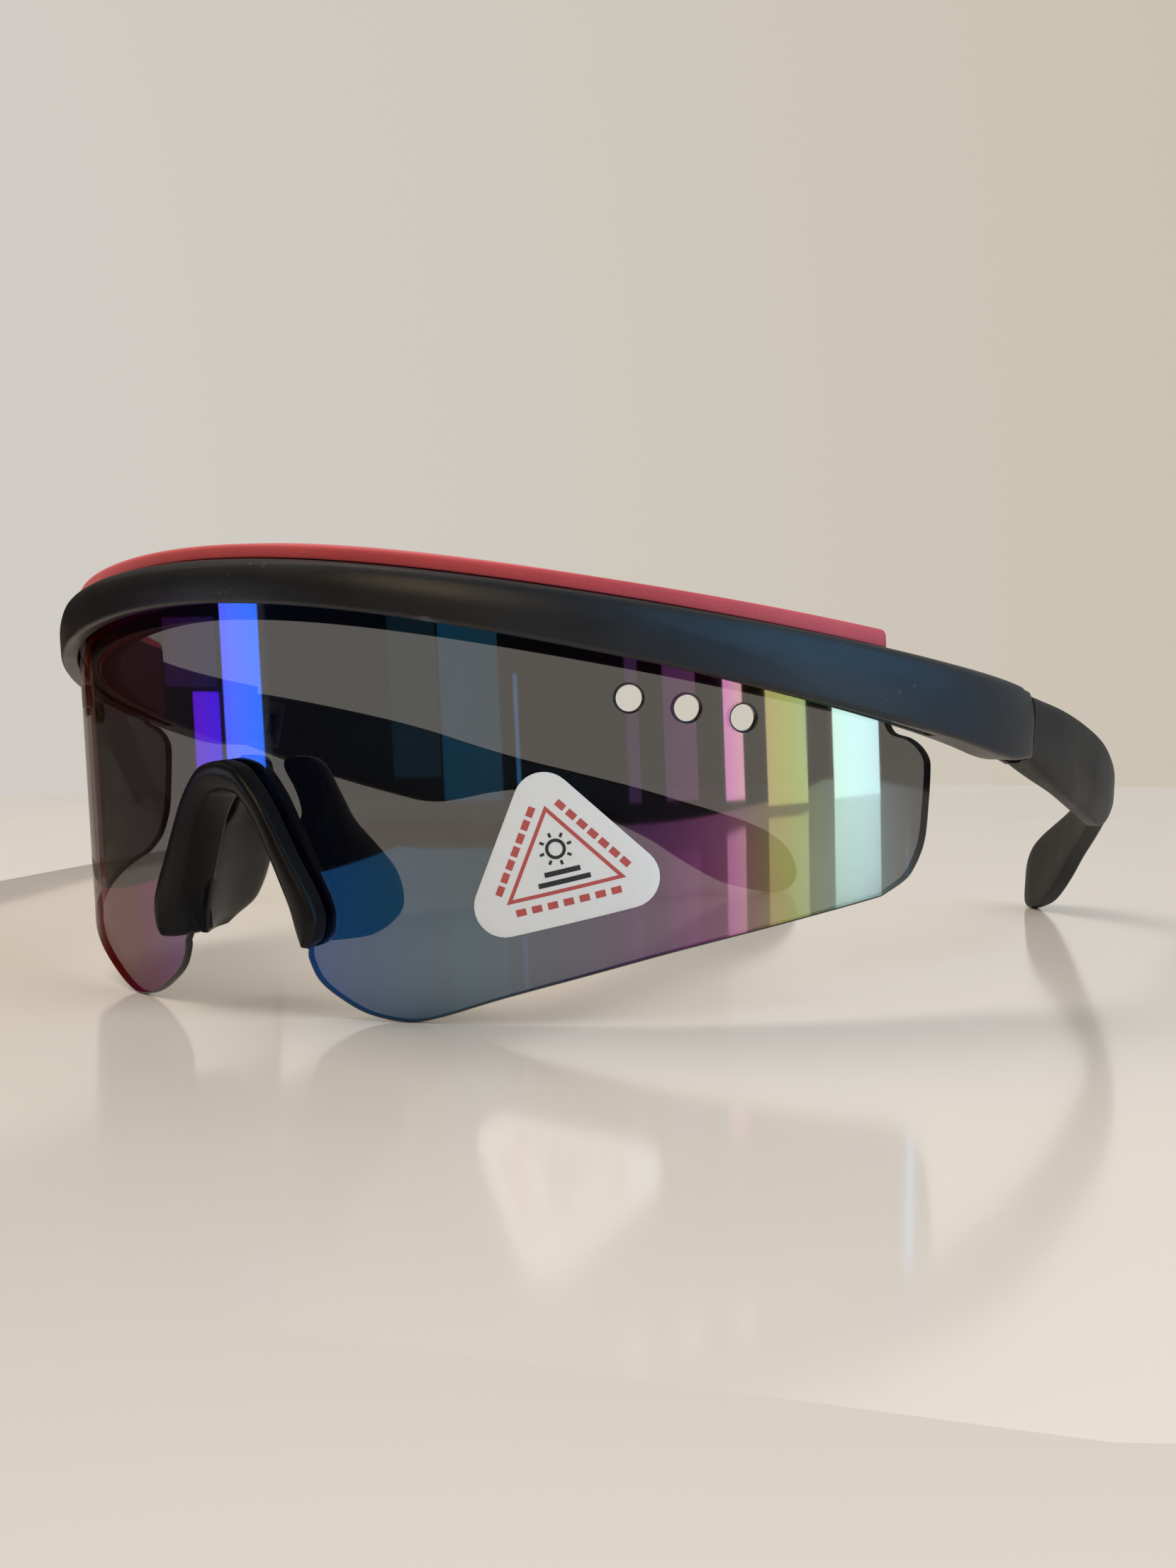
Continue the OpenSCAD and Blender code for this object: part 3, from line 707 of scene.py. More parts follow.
# Matte red rubber foam of the pad, with a dusty sheen, and a painted shade for its rear side: the
# same foam in a darker red, for the shade that falls inside the frame
pad_rubber = plain(
    "pad_rubber", (60, 4, 0.6),
    [(0.25, (0.46, 0.026, 0.03)), (0.55, (0.56, 0.038, 0.042)), (0.85, (0.63, 0.055, 0.062))],
    ((1900, 3, 0.7), 0.35, 0.00015),
    Roughness=0.72, Sheen_Weight=0.35, Sheen_Roughness=0.5, Sheen_Tint=(1, 0.55, 0.6, 1),
)
# Painted shade on the pad's rear side, which is the same red foam as the front
pad_painted_shade = plain(
    "pad_painted_shade", (50, 4, 0.6), [(0.3, (0.045, 0.006, 0.010)), (0.75, (0.075, 0.010, 0.015))],
    ((1500, 3, 0.7), 0.4, 0.00015), Roughness=0.8,
)


def nose_material():
    """Semi-gloss black rubber: darker and smoother than the frame."""
    look = Finish("nose_rubber")
    look.vary("Base Color", look.noise(90), [
        (0.3, (0.005, 0.005, 0.0055)), (0.8, (0.011, 0.0105, 0.0105)),
    ])
    look.vary("Roughness", look.noise(220), [(0.3, grey(0.22)), (0.8, grey(0.34))])
    look.fix(Specular_IOR_Level=0.14)
    look.bump(look.noise(900, 2), 0.06, 0.0001)
    return look.material


# Colour of the lens's coating round its face: distance from the middle and the mirror's tint
COAT_STOPS = [
    (-94, (0.26, 0.19, 0.12)), (-56, (0.30, 0.16, 0.08)), (-39, (0.34, 0.10, 0.04)),
    (-28, (0.26, 0.04, 0.09)), (-16, (0.22, 0.03, 0.2)), (-6, (0.13, 0.05, 0.4)),
    (1, (0.03, 0.08, 0.55)), (8, (0.01, 0.09, 0.46)), (16, (0.01, 0.1, 0.36)),
    (28, (0.01, 0.11, 0.2)), (38, (0.02, 0.1, 0.17)), (48, (0.08, 0.06, 0.2)),
    (57, (0.18, 0.05, 0.2)), (65, (0.42, 0.12, 0.34)), (69, (0.42, 0.32, 0.16)),
    (74, (0.36, 0.42, 0.09)), (79, (0.32, 0.52, 0.48)), (85, (0.32, 0.5, 0.52)),
    (90, (0.16, 0.17, 0.18)), (94, (0.14, 0.14, 0.15)),
]
LENS_ALPHA = 0.61


def coat_place(s):
    """Share of the coating's length that lies before a place round the face."""
    return (s - COAT_STOPS[0][0]) / (COAT_STOPS[-1][0] - COAT_STOPS[0][0])


def lens_outside():
    """Mirror-coated smoke plastic whose tint runs through a rainbow round the face."""
    look = Finish("lens_coating")
    tree = look.tree
    place = tree.nodes.new("ShaderNodeAttribute")
    place.attribute_name = "round_face"
    ripple = math_node(tree, "SUBTRACT", look.noise(30, 2), 0.5)
    where = math_node(tree, "ADD", place.outputs["Fac"], math_node(tree, "MULTIPLY", ripple, 0.02))
    stops = [(coat_place(s), tint) for s, tint in COAT_STOPS]
    look.vary("Base Color", where, stops, "B_SPLINE")
    look.vary("Roughness", look.noise(55, 4, 0.65), [(0.35, grey(0.02)), (0.8, grey(0.055))])
    look.fix(Metallic=1, Specular_Tint=(0.4, 0.24, 0.24, 1), Alpha=LENS_ALPHA)
    look.bump(look.noise(22, 1), 0.05, 0.0004)
    return look.material


# Bare smoke plastic inside the lens, and its dark, a little dull cut edge
lens_smoke = plain(
    "lens_smoke", (25, 2), [(0.3, (0.024, 0.015, 0.010)), (0.8, (0.030, 0.019, 0.013))],
    Roughness=0.06, Alpha=LENS_ALPHA,
)
lens_edge = plain(
    "lens_edge", (200, 2), [(0.3, (0.012, 0.010, 0.010)), (0.8, (0.03, 0.027, 0.026))],
    Roughness=0.22,
)
screw_steel = plain(
    "screw_steel", (1500,), [(0.3, grey(0.36)), (0.8, grey(0.58))], ((4000, 1), 0.15, 0.00005),
    Metallic=1, Roughness=0.32,
)


def film(name, base, dark, rough=0.34):
    """Vinyl film or ink with a faint orange-peel gloss."""
    grain = ((700, 2), 0.08, 0.0001)
    return plain(name, (130, 4, 0.6), [(0.25, dark), (0.75, base)], grain, Roughness=rough)


# Lens
def lens_outline():
    low = refine(sized(NOTCH_SHARES, NOSE_HALF_W, NOSE_H), 6)
    low += refine(sized(EDGE_SHARES, LENS_HALF, LENS_H), 8)
    low += refine(sized(END_SHARES, LENS_HALF, LENS_H), 6)
    last = low[-1].x
    top = [Vector((last * i / 60, lens_top(last * i / 60))) for i in range(60, -1, -1)]
    right = low + top
    left = [Vector((-p.x, p.y)) for p in reversed(right)]
    return spaced(right + left, 0.25)


def vents():
    """Clockwise outlines of the vent holes."""
    out = []
    for side in (-1, 1):
        for i in (-1, 0, 1):
            s = side * (VENT_S + i * VENT_PITCH)
            z = lip_z(VENT_S) - VENT_DROP - i * VENT_PITCH * VENT_FALL_SHARE
            out.append([Vector((s + x, z - y)) for x, y in around(VENT_R, 40)])
    return out


def make_lens():
    loops = [lens_outline()] + vents()
    verts, faces, kinds = sheet(loops, -LENS_T, 0, LENS_EDGE_R, LENS_GRID)
    obj = new_object("lens_shell", verts, faces, [lens_outside(), lens_edge, lens_smoke], STAND)
    mesh = obj.data
    mesh.shade_smooth()
    for face, kind in zip(mesh.polygons, kinds):
        face.material_index = kind
    place = mesh.attributes.new("round_face", "FLOAT", "POINT")
    for i, p in enumerate(verts):
        place.data[i].value = coat_place(atan2(p.x, LENS_R - p.y) * LENS_R)
    # The two broad faces shade as the true cylinder, and the rim between them as it lies
    normals = []
    turn = STAND.to_3x3().normalized()
    for face in mesh.polygons:
        for i in face.vertices:
            out = Vector((verts[i].x, verts[i].y - LENS_R, 0)).normalized()
            normals.append(tuple(turn @ out * (1 - face.material_index)))
    mesh.normals_split_custom_set(normals)
    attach(obj, "face")
    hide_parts("lens")


# Brow bar
def bar_inside(s):
    u = min(max((s - LENS_HALF) / BAR_END_L, 0), 1)
    full = LENS_T + GROOVE_GAP + LIP_REAR_T
    end = BAR_END_T - LIP_FRONT_T - GROOVE_GAP
    return full + (end - full) * u * u * (3 - 2 * u)


BAR_SOFT_SHARE = 0.14
BAR_LEAN = 0.05
BAR_BULGE_SHARE, BAR_BULGE_R_SHARE = 0.62, 0.35
BAR_FRONT_R, BAR_TOP_R, BAR_BACK_R = 0.75, 1.1, 0.5
GROOVE_MOUTH_R, GROOVE_R = 0.3, 0.1
# Places across the bar's ends, beyond the groove, that stand for the groove's corners
BAR_UNDER_SHARES = (0.25, 0.4, 0.6, 0.75)
BAR_RINGS, BAR_END_RINGS = 90, 28


def bar_ring(s, side):
    far = s > LENS_HALF + 2.5 * GROOVE_GAP
    low, top = bar_low(s), top_z(s)
    h = top - low
    out, back = LIP_FRONT_T + GROOVE_GAP, -bar_inside(s)
    rear_low = low if far else low - drop_at(s)
    soft = BAR_SOFT_SHARE * LIP_FRONT_T
    if far:
        groove = [(back + w * (out - back), low, BAR_LEAN) for w in BAR_UNDER_SHARES]
    else:
        n0, n1, z = -LENS_T - GROOVE_GAP, GROOVE_GAP, low + GROOVE_D
        groove = [(n0, rear_low, GROOVE_MOUTH_R), (n0, z, GROOVE_R)]
        groove += [(n1, z, GROOVE_R), (n1, low, GROOVE_MOUTH_R)]
    corners = [
        (out - BAR_LEAN, low, BAR_FRONT_R), (out, low + BAR_BULGE_SHARE * h, BAR_BULGE_R_SHARE * h),
        (out - 3 * soft, top, BAR_TOP_R), (back, top, BAR_BACK_R), (back, rear_low, BAR_BACK_R),
    ] + groove
    u = min(max((s - LENS_HALF) / BAR_END_L, 0), 1)
    return [
        on_face(side * s, p.x, p.y)
        + u * (u * tan(TILT) * (p.y - HINGE_Z) - SEAM_GAP / 2) * along(side * s)
        for p in fillet(corners)
    ]


def arc(r, start, end, steps=36):
    return [(r * cos(start + (end - start) * k / steps), r * sin(start + (end - start) * k / steps))
            for k in range(steps + 1)]


def plate_tool(outline, low, high, side):
    return hinge_object(*loft([[(x, y, z) for x, y in outline] for z in (low, high)]), side)


def round_tool(r, low, high, side):
    return plate_tool(around(r, 48), low, high, side)


def flipped(outline):
    return [(x, -y) for x, y in outline]


# Outlines across the screw: a knuckle with its neck, and the room that a knuckle swings in
ROOM_R = KNUCKLE_R + KNUCKLE_GAP
ROOM_BACK = ROOM_R + KNUCKLE_GAP / 2
ROOM_MOUTH = 1
ROOM_TURN = 0.2
NECK = [(-KNUCKLE_R, -2 * KNUCKLE_R), (KNUCKLE_R, -2 * KNUCKLE_R)] + arc(KNUCKLE_R, 0, pi)
ROOM = [(-2 * ROOM_R, -ROOM_BACK), (ROOM_R * cos(ROOM_TURN), -ROOM_BACK)]
ROOM += arc(ROOM_R, -ROOM_TURN, pi - asin(ROOM_MOUTH / ROOM_R)) + [(-2 * ROOM_R, ROOM_MOUTH)]
# Offset that keeps the faces of two joined shapes from lying in one plane
SLIVER = 0.02


def hinge_object(verts, faces, side, name="tool", materials=()):
    """Mesh drawn in the hinge frame of one side, in the part's own frame."""
    placed = [from_hinge(p) for p in verts]
    placed = [(side * p.x, p.y, p.z) for p in placed]
    obj = new_object(name, placed, faces, materials, STAND)
    face_out(obj.data)
    return obj


def make_bar():
    middle = LENS_HALF + 2 * GROOVE_GAP
    spots = [middle * i / BAR_RINGS for i in range(BAR_RINGS + 1)]
    spots += [LENS_HALF + 2 * THIN + (BAR_END_L - 2 * THIN) * i / BAR_END_RINGS
              for i in range(BAR_END_RINGS + 1)]
    rings = [bar_ring(s, -1) for s in reversed(spots)] + [bar_ring(s, 1) for s in spots[1:]]
    obj = finish_mesh(new_object("brow_bar", *loft(rings), [frame_plastic], STAND))
    half = TONGUE_H / 2
    for side in (-1, 1):
        for low in (half - SLIVER, SLIVER - half - ARM_H):
            cut(obj, plate_tool(ROOM, low, low + ARM_H, side), "DIFFERENCE")
        cut(obj, plate_tool(NECK, -half, half, side), "UNION")
        cut(obj, round_tool(SCREW_R + SCREW_FIT, -TONGUE_H, TONGUE_H, side), "DIFFERENCE")
    finish_mesh(obj)
    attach(obj, "face")
    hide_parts("brow_frame")


# Sweat pad: the painted shade, a darker red, covers its rear side between these corners of its
# section
CORNER_POINTS = 6
PAINTED_SHADE_CORNERS = (5, 6, 7)


PAD_CREST_SHARE = 0.36
PAD_SEAT_R = 0.4
PAD_STEP_R = 0.05
PAD_LIP_R = 0.2
PAD_NOSE_R = 0.6
PAD_END = 0.6
PAD_CAP_SHARE = 0.12
PAD_CAP_RINGS = 4
PAD_RINGS = 110


def pad_ring(s, shrink=1):
    near = -bar_inside(0) - PAD_GAP
    far = near - PAD_T * (1 - PAD_TAPER_SHARE * (s / PAD_HALF) ** 4)
    low, bar_top = lip_z(s) - drop_at(s), top_z(s) + PAD_GAP
    top = top_z(s) + PAD_PROUD * (1 + PAD_RISE_SHARE * (s / PAD_HALF) ** 2)
    r = PAD_CREST_SHARE * (near - far)
    corners = [
        (near, low, PAD_SEAT_R), (near, bar_top, PAD_STEP_R), (near + PAD_LAP, bar_top, PAD_LIP_R),
        (near + PAD_LAP, top, PAD_NOSE_R), (far + r / 5, top, 2 * r), (far, top - 3 * r, r),
        (far, low + 3 * r, r), (far + r / 5, low, 2 * r),
    ]
    mid = Vector(((near + far) / 2, (low + top) / 2))
    ring = []
    for p in fillet(corners, CORNER_POINTS - 1):
        q = mid + (p - mid) * shrink
        # The lap stays on the bar's top where the end is drawn in
        over = q.x > near - TINY and p.y >= bar_top
        ring.append(on_face(s, q.x, max(q.y, bar_top) if over else q.y))
    return ring


def make_pad():
    caps = []
    for k in range(1, PAD_CAP_RINGS + 1):
        a = pi / 2 * (1 - k / (PAD_CAP_RINGS + 1))
        caps.append((PAD_HALF - PAD_END * (1 - sin(a)), 1 - PAD_CAP_SHARE * (1 - cos(a))))
    rings = [pad_ring(-place, size) for place, size in caps]
    end = PAD_HALF - PAD_END
    rings += [pad_ring(end * i / PAD_RINGS) for i in range(-PAD_RINGS, PAD_RINGS + 1)]
    rings += [pad_ring(place, size) for place, size in reversed(caps)]
    verts, faces = loft(rings)
    obj = new_object("brow_pad_foam", verts, faces, [pad_rubber, pad_painted_shade], STAND)
    count = len(rings[0])
    # Painted shade: the faces of the pad's rear side take the darker red
    for i, face in enumerate(obj.data.polygons):
        corner = (i - 1) % count // CORNER_POINTS
        if 0 < i < len(faces) - 1 and corner in PAINTED_SHADE_CORNERS:
            face.material_index = 1
    finish_mesh(obj, 60)
    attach(obj, "face")
    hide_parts("brow_pad")


# Nosepiece
def evenly(points, count):
    """As many points at even distances along a line of points."""
    total = [0]
    for a, b in zip(points, points[1:]):
        total.append(total[-1] + (b - a).length)
    out = []
    k = 0
    for i in range(count):
        d = total[-1] * i / (count - 1)
        while k < len(points) - 2 and total[k + 1] < d:
            k += 1
        u = (d - total[k]) / max(total[k + 1] - total[k], 1e-9)
        out.append(points[k].lerp(points[k + 1], min(max(u, 0), 1)))
    return out


FOOT_CAP = 0.6
FOOT_RINGS = 6
RIM_RINGS = 64
# The bead in front of the lens, from its outer to its inner side: place across it, how far it
# falls short of the full depth, and radius
BEAD = ((1, 0.25, 1.3), (0.6, -0.12, 1.2), (0.02, 0.7, 1))
RIM_LIP = 0.35
RIM_LIP_R = 0.8
RIM_BACK_R = 0.5
RIM_HEEL_R = 0.6
RIM_SEAT_R = 0.15
RIM_GROOVE_R = 0.08
RIM_FIT = 1.6 * GROOVE_GAP
RIM_GROOVE_SHARE = 0.6
WING_SIDES = 32
WING_BOW_SHARE = 0.05


def rim_ring(outer, inner, notch_share, end):
    """Section of the rim between two points of its edges: a bead in front, a lip behind."""
    front, back = RIM_FRONT_T, -LENS_T - RIM_REAR_T
    q = notch_share
    gap_front, gap_back = GROOVE_GAP, -LENS_T - GROOVE_GAP
    width = (outer - inner).length
    # The inner side leans in as far as the lens's edge needs
    lip = max(RIM_LIP / width, RIM_LIP / width - q)
    corners = [(1, gap_front, RIM_SEAT_R)] + [(w, front - drop, r) for w, drop, r in BEAD] + [
        (-lip, gap_back, RIM_LIP_R), (-lip, back, RIM_BACK_R), (1, back, RIM_HEEL_R),
        (1, gap_back, RIM_SEAT_R), (q, gap_back, RIM_GROOVE_R), (q, gap_front, RIM_GROOVE_R),
    ]
    flat = fillet([(w * width, n, r) for w, n, r in corners], 4)
    across = (outer - inner).normalized()
    out = []
    centre = Vector((0.5 * width, (front + back) / 2))
    for p in flat:
        p = centre + (p - centre) * end if end < 1 else p
        spot = inner + across * p.x
        out.append(on_face(spot.x, p.y, spot.y))
    return out


def make_nosepiece():
    outer, inner = (
        evenly(refine(sized(shares, NOSE_HALF_W, NOSE_H), 6), RIM_RINGS)
        for shares in (RIM_OUTER_SHARES, RIM_INNER_SHARES)
    )
    notch = refine(sized(NOTCH_SHARES, NOSE_HALF_W, NOSE_H), 10)
    half = []
    for o, p in zip(outer, inner):
        across = (o - p).normalized()
        # Where the notch's edge crosses this section
        best = min(notch, key=lambda c: abs((c - p).cross(across)))
        share = ((best - p).dot(across) - RIM_FIT) / (o - p).length
        half.append((o, p, min(share, RIM_GROOVE_SHARE), 1))
    # Round ends of the two feet
    o, p, q, _ = half[-1]
    run = (o + p - half[-2][0] - half[-2][1]).normalized()
    for k in range(1, FOOT_RINGS + 1):
        a = pi / 2 * k / (FOOT_RINGS + 1)
        half.append((o + run * FOOT_CAP * sin(a), p + run * FOOT_CAP * sin(a), q, cos(a)))
    mirrored = [(Vector((-o.x, o.y)), Vector((-p.x, p.y)), q, end) for o, p, q, end in half]
    rings = [rim_ring(*row) for row in mirrored[::-1] + half[1:]]
    rubber = nose_material()
    obj = finish_mesh(new_object("nose_rim", *loft(rings), [rubber], STAND))
    for side in (-1, 1):
        wing = []
        # Height of each row, then its front and rear edges: places across and depths
        for height, front, rear, shallow, deep in refine(WING_SHARES, 6):
            ring = []
            for k in range(WING_SIDES):
                b = 2 * pi * k / WING_SIDES
                u = (1 - cos(b)) / 2
                x = NOSE_HALF_W * (front + (rear - front) * u) - WING_T / 2 * squared(sin(b))
                x += WING_BOW_SHARE * WING_D * sin(pi * u)
                y = WING_D * (shallow + (deep - shallow) * u)
                ring.append((side * x, y, height * NOSE_H))
            wing.append(ring)
        cut(obj, finish_mesh(new_object("wing", *loft(wing), [rubber], STAND)), "UNION")
    finish_mesh(obj, 50)
    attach(obj, "face")
    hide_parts("nosepiece")


# Temples and screws
FORK_H = 0.84 * ARM_H
SCREW_HEAD_H = 0.5 * SCREW_HEAD_R
SCREW_TOP = FORK_H / 2 - 0.6 * KNUCKLE_R
SCREW_CHAMFER_SHARE = 0.86
SCREW_CHAMFER_H = 0.18
SCREW_TIP_SHARE = 0.7
SCREW_TIP_H = 0.2
SCREW_SLOT_SHARE = 0.25
ARM_RINGS = 120
ARM_TAIL_RINGS = 16
ARM_SIDES = 56


def make_temple(name, side, body, node):
    rings = [arm_ring(t, ARM_SIDES) for t in stations(ARM_RINGS, ARM_TAIL_RINGS)]
    obj = finish_mesh(hinge_object(*loft(rings), side, name, [temple_plastic]))
    half = FORK_H / 2
    cut(obj, plate_tool(flipped(NECK), -half, half, side), "UNION")
    room_h = TONGUE_H / 2 + KNUCKLE_GAP
    cut(obj, plate_tool(flipped(ROOM), -room_h, room_h, side), "DIFFERENCE")
    cut(obj, round_tool(SCREW_R + SCREW_GRIP, -ARM_H, SCREW_TOP, side), "DIFFERENCE")
    cut(obj, round_tool(SCREW_HEAD_R + SCREW_GRIP, -ARM_H, SCREW_HEAD_H - half, side), "DIFFERENCE")
    finish_mesh(obj)
    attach(obj, body)
    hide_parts(node)


def make_screw(name, side, body, node):
    """Turned screw with a chamfered head, a slot and a rounded tip."""
    low = SCREW_GRIP - FORK_H / 2
    head = low + SCREW_HEAD_H - 2 * SCREW_GRIP
    tip = low + FORK_H / 2 + SCREW_TOP - 2 * SCREW_GRIP
    profile = [
        (SCREW_HEAD_R * SCREW_CHAMFER_SHARE, low), (SCREW_HEAD_R, low + SCREW_CHAMFER_H),
        (SCREW_HEAD_R, head), (SCREW_R, head), (SCREW_R, tip - SCREW_TIP_H),
        (SCREW_R * SCREW_TIP_SHARE, tip),
    ]
    count = 48
    rings = [[(x, y, z) for x, y in around(r, count)] for r, z in profile]
    obj = hinge_object(*loft(rings), side, name, [screw_steel])
    x, y = 2 * SCREW_HEAD_R, SCREW_SLOT_SHARE * SCREW_HEAD_R / 2
    slot = [(-x, -y), (x, -y), (x, y), (-x, y)]
    cut(obj, plate_tool(slot, -FORK_H, (SCREW_HEAD_H - FORK_H) / 2, side), "DIFFERENCE")
    finish_mesh(obj, 30)
    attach(obj, body)
    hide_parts(node)


# Label
def label_outline(corners, r, steps=10):
    """Counter-clockwise triangle with round corners about the given centres."""
    out = []
    for i in range(3):
        c, a, b = corners[i], corners[i - 1], corners[(i + 1) % 3]
        start = atan2(c.y - a.y, c.x - a.x) - pi / 2
        end = atan2(b.y - c.y, b.x - c.x) - pi / 2
        if end < start:
            end += 2 * pi
        turns = [start + (end - start) * k / steps for k in range(steps + 1)]
        out += [c + r * Vector((cos(turn), sin(turn))) for turn in turns]
        aside = r * Vector((cos(end), sin(end)))
        out += [(c + aside).lerp(b + aside, k / steps) for k in range(1, steps)]
    return out


def make_label():
    corners = [Vector(p) for p in sized(LABEL_SHARES, LENS_HALF, LENS_H)]
    white = film("label_film", (0.84, 0.86, 0.88), (0.78, 0.80, 0.81))
    red = film("label_red", (0.55, 0.10, 0.09), (0.47, 0.07, 0.07), 0.4)
    black = film("label_black", (0.03, 0.03, 0.035), (0.015, 0.015, 0.02), 0.4)
    loop = spaced(label_outline(corners, LABEL_CORNER_R), 0.15)
    n0, n1 = LABEL_GAP, LABEL_GAP + LABEL_T
    verts, faces, _ = sheet([loop], n0, n1, LABEL_EDGE_R, LABEL_GRID)
    base = new_object("label_base", verts, faces, [white], STAND)
    base.data.shade_smooth()
    base.data.set_sharp_from_angle(angle=radians(40))
    prints = []
    centre = sum(corners, Vector((0, 0))) / 3

    def stroke(points, width, name, tint, closed=False):
        """Flat printed line along points on the label."""
        size = len(points)
        left, right = [], []
        for i, p in enumerate(points):
            a = points[i - 1] if closed or i else p
            b = points[(i + 1) % size] if closed or i < size - 1 else p
            d = (b - a).normalized()
            m = Vector((-d.y, d.x)) * width / 2
            if closed:
                e, f = (p - a).normalized(), (b - p).normalized()
                m = Vector((-(e.y + f.y), e.x + f.x)).normalized()
                m *= width / 2 / max(0.4, m.dot(Vector((-e.y, e.x))))
            left.append(p + m)
            right.append(p - m)
        rows = [[on_face(p.x, n1 + INK_T, p.y) for p in side] for side in (left, right)]
        rows += [[on_face(p.x, n1 - INK_T, p.y) for p in side] for side in (right, left)]
        flat = [p for row in rows for p in row]
        faces = []
        for r in range(4):
            faces += band(r * size, (r + 1) % 4 * size, size, closed)
        if not closed:
            faces.append((0, size, 2 * size, 3 * size))
            faces.append((size - 1, 4 * size - 1, 3 * size - 1, 2 * size - 1))
        obj = finish_mesh(new_object(name, flat, faces, [tint], STAND), 30)
        prints.append(obj)

    def between(a, b, steps=8):
        return [a.lerp(b, k / steps) for k in range(steps + 1)]

    # Red triangle
    tri = [centre + (c - centre) * PRINT_SHARE for c in corners]
    path = []
    for i in range(3):
        path += between(tri[i], tri[(i + 1) % 3], 10)[:-1]
    stroke(path, TRIANGLE_LINE_W, "label_triangle", red, closed=True)
    # Short red dashes between the triangle and the label's edge, side by side with a space
    for i in range(3):
        a, b = corners[i], corners[(i + 1) % 3]
        d = (b - a).normalized()
        out = Vector((d.y, -d.x))
        for k in range(DASHES):
            u = DASH_START_SHARE + (1 - 2 * DASH_START_SHARE) * k / (DASHES - 1)
            p = a.lerp(b, u) + out * (LABEL_CORNER_R * DASH_OUT_SHARE)
            e = d * DASH_HALF_L
            stroke([p - e, p, p + e], DASH_W, f"label_dash_{i}_{k}", red)
    # A small sun over two bars
    sun = centre + Vector(SUN_PLACE)
    ring = [sun + Vector(p) for p in around(SUN_R, 28)]
    stroke(ring, SUN_LINE_W, "label_sun", black, closed=True)
    for k in range(RAYS):
        a = 2 * pi * (k + 0.5) / RAYS
        d = Vector((cos(a), sin(a)))
        stroke([sun + d * r for r in (RAY_FROM, RAY_MID, RAY_TO)], RAY_W, f"label_ray_{k}", black)
    slant = (corners[1] - corners[0]).normalized()
    for k, (drop, half) in enumerate(PRINT_BARS):
        mid = centre - Vector((-slant.y, slant.x)) * drop + slant * PRINT_BAR_SHIFT
        points = between(mid - slant * half, mid + slant * half)
        stroke(points, PRINT_BAR_W, f"label_line_{k}", black)
    # Join the prints to the film: one piece
    with bpy.context.temp_override(active_object=base, selected_editable_objects=[base, *prints]):
        bpy.ops.object.join()
    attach(base, "face")
    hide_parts("lens_label")


make_lens()
make_bar()
make_pad()
make_nosepiece()
make_temple("left_temple", 1, "left_arm", "temple_left")
make_temple("right_temple", -1, "right_arm", "temple_right")
make_screw("left_screw", 1, "left_arm", "hinge_screw_left")
make_screw("right_screw", -1, "right_arm", "hinge_screw_right")
make_label()


# Camera: its place in millimetres, its aim, and a focal length in pixels of the photo's height
EYE = Vector((216.24, -215.89 - MIDDLE_Y, 43.92))
YAW, PITCH, ROLL = 0.6431, 0.0515, -0.0091
FOCAL_PX = 3400
PHOTO_H = 2212
FILM = 36


ahead = Vector((-sin(YAW) * cos(PITCH), cos(YAW) * cos(PITCH), -sin(PITCH)))
level = Vector((cos(YAW), sin(YAW), 0))
upright = level.cross(ahead)
right = level * cos(ROLL) + upright * sin(ROLL)
up = upright * cos(ROLL) - level * sin(ROLL)
data = bpy.data.cameras.new("camera")
data.sensor_width = FILM
data.lens = FOCAL_PX / PHOTO_H * FILM
data.clip_start = 0.01
camera = bpy.data.objects.new("camera", data)
turned = Matrix((right, up, -ahead)).transposed().to_4x4()
camera.matrix_world = Matrix.Translation(EYE * MM) @ turned
bpy.context.scene.collection.objects.link(camera)
bpy.context.scene.camera = camera


# Floor: a pale, slightly glossy round table
TABLE_R = 440
TABLE_X, TABLE_Y = -40, 20
TABLE_T = 12


def make_floor():
    look = Finish("table_white")
    stops = [(0.3, (0.76, 0.715, 0.675)), (0.8, (0.79, 0.745, 0.705))]
    look.vary("Base Color", look.noise(6, 2), stops)
    look.vary("Roughness", look.noise(14), [(0.3, grey(0.09)), (0.8, grey(0.14))])
    rings = [[(TABLE_X + x, TABLE_Y + y, z) for x, y in around(TABLE_R, 96)]
             for z in (0, -TABLE_T)]
    obj = finish_mesh(new_object("table", *loft(rings), [look.material], Matrix.Scale(MM, 4)), 40)


make_floor()


# Lights
# Plan of a dark screen round the front, which only mirrors see: the unlit room
SCREEN = [
    (-230, 160), (-147, -43), (-125, -111), (17, -203), (160, -175), (252, -117), (368, -29),
    (480, 160),
]
SCREEN_H = 400
CARD_SHARE = 0.95


def glance(s, z):
    """Place just in front of the screen or the floor that the camera sees mirrored at (s, z)."""
    p = leaned(on_face(s, 0, z)) - Vector((0, MIDDLE_Y, GROUND))
    a = s / LENS_R
    n = leaned((sin(a), -cos(a), 0))
    d = (p - EYE).normalized()
    d -= 2 * d.dot(n) * n
    reach = SCREEN_H
    if d.z < 0:
        reach = min(reach, -p.z / d.z)
    for (x0, y0), (x1, y1) in zip(SCREEN, SCREEN[1:]):
        ex, ey = x1 - x0, y1 - y0
        cross = d.x * ey - d.y * ex
        if abs(cross) < 1e-9:
            continue
        t = ((x0 - p.x) * ey - (y0 - p.y) * ex) / cross
        u = ((x0 - p.x) * d.y - (y0 - p.y) * d.x) / cross
        if t > 0 and 0 <= u <= 1:
            reach = min(reach, t)
    return p + d * reach * CARD_SHARE


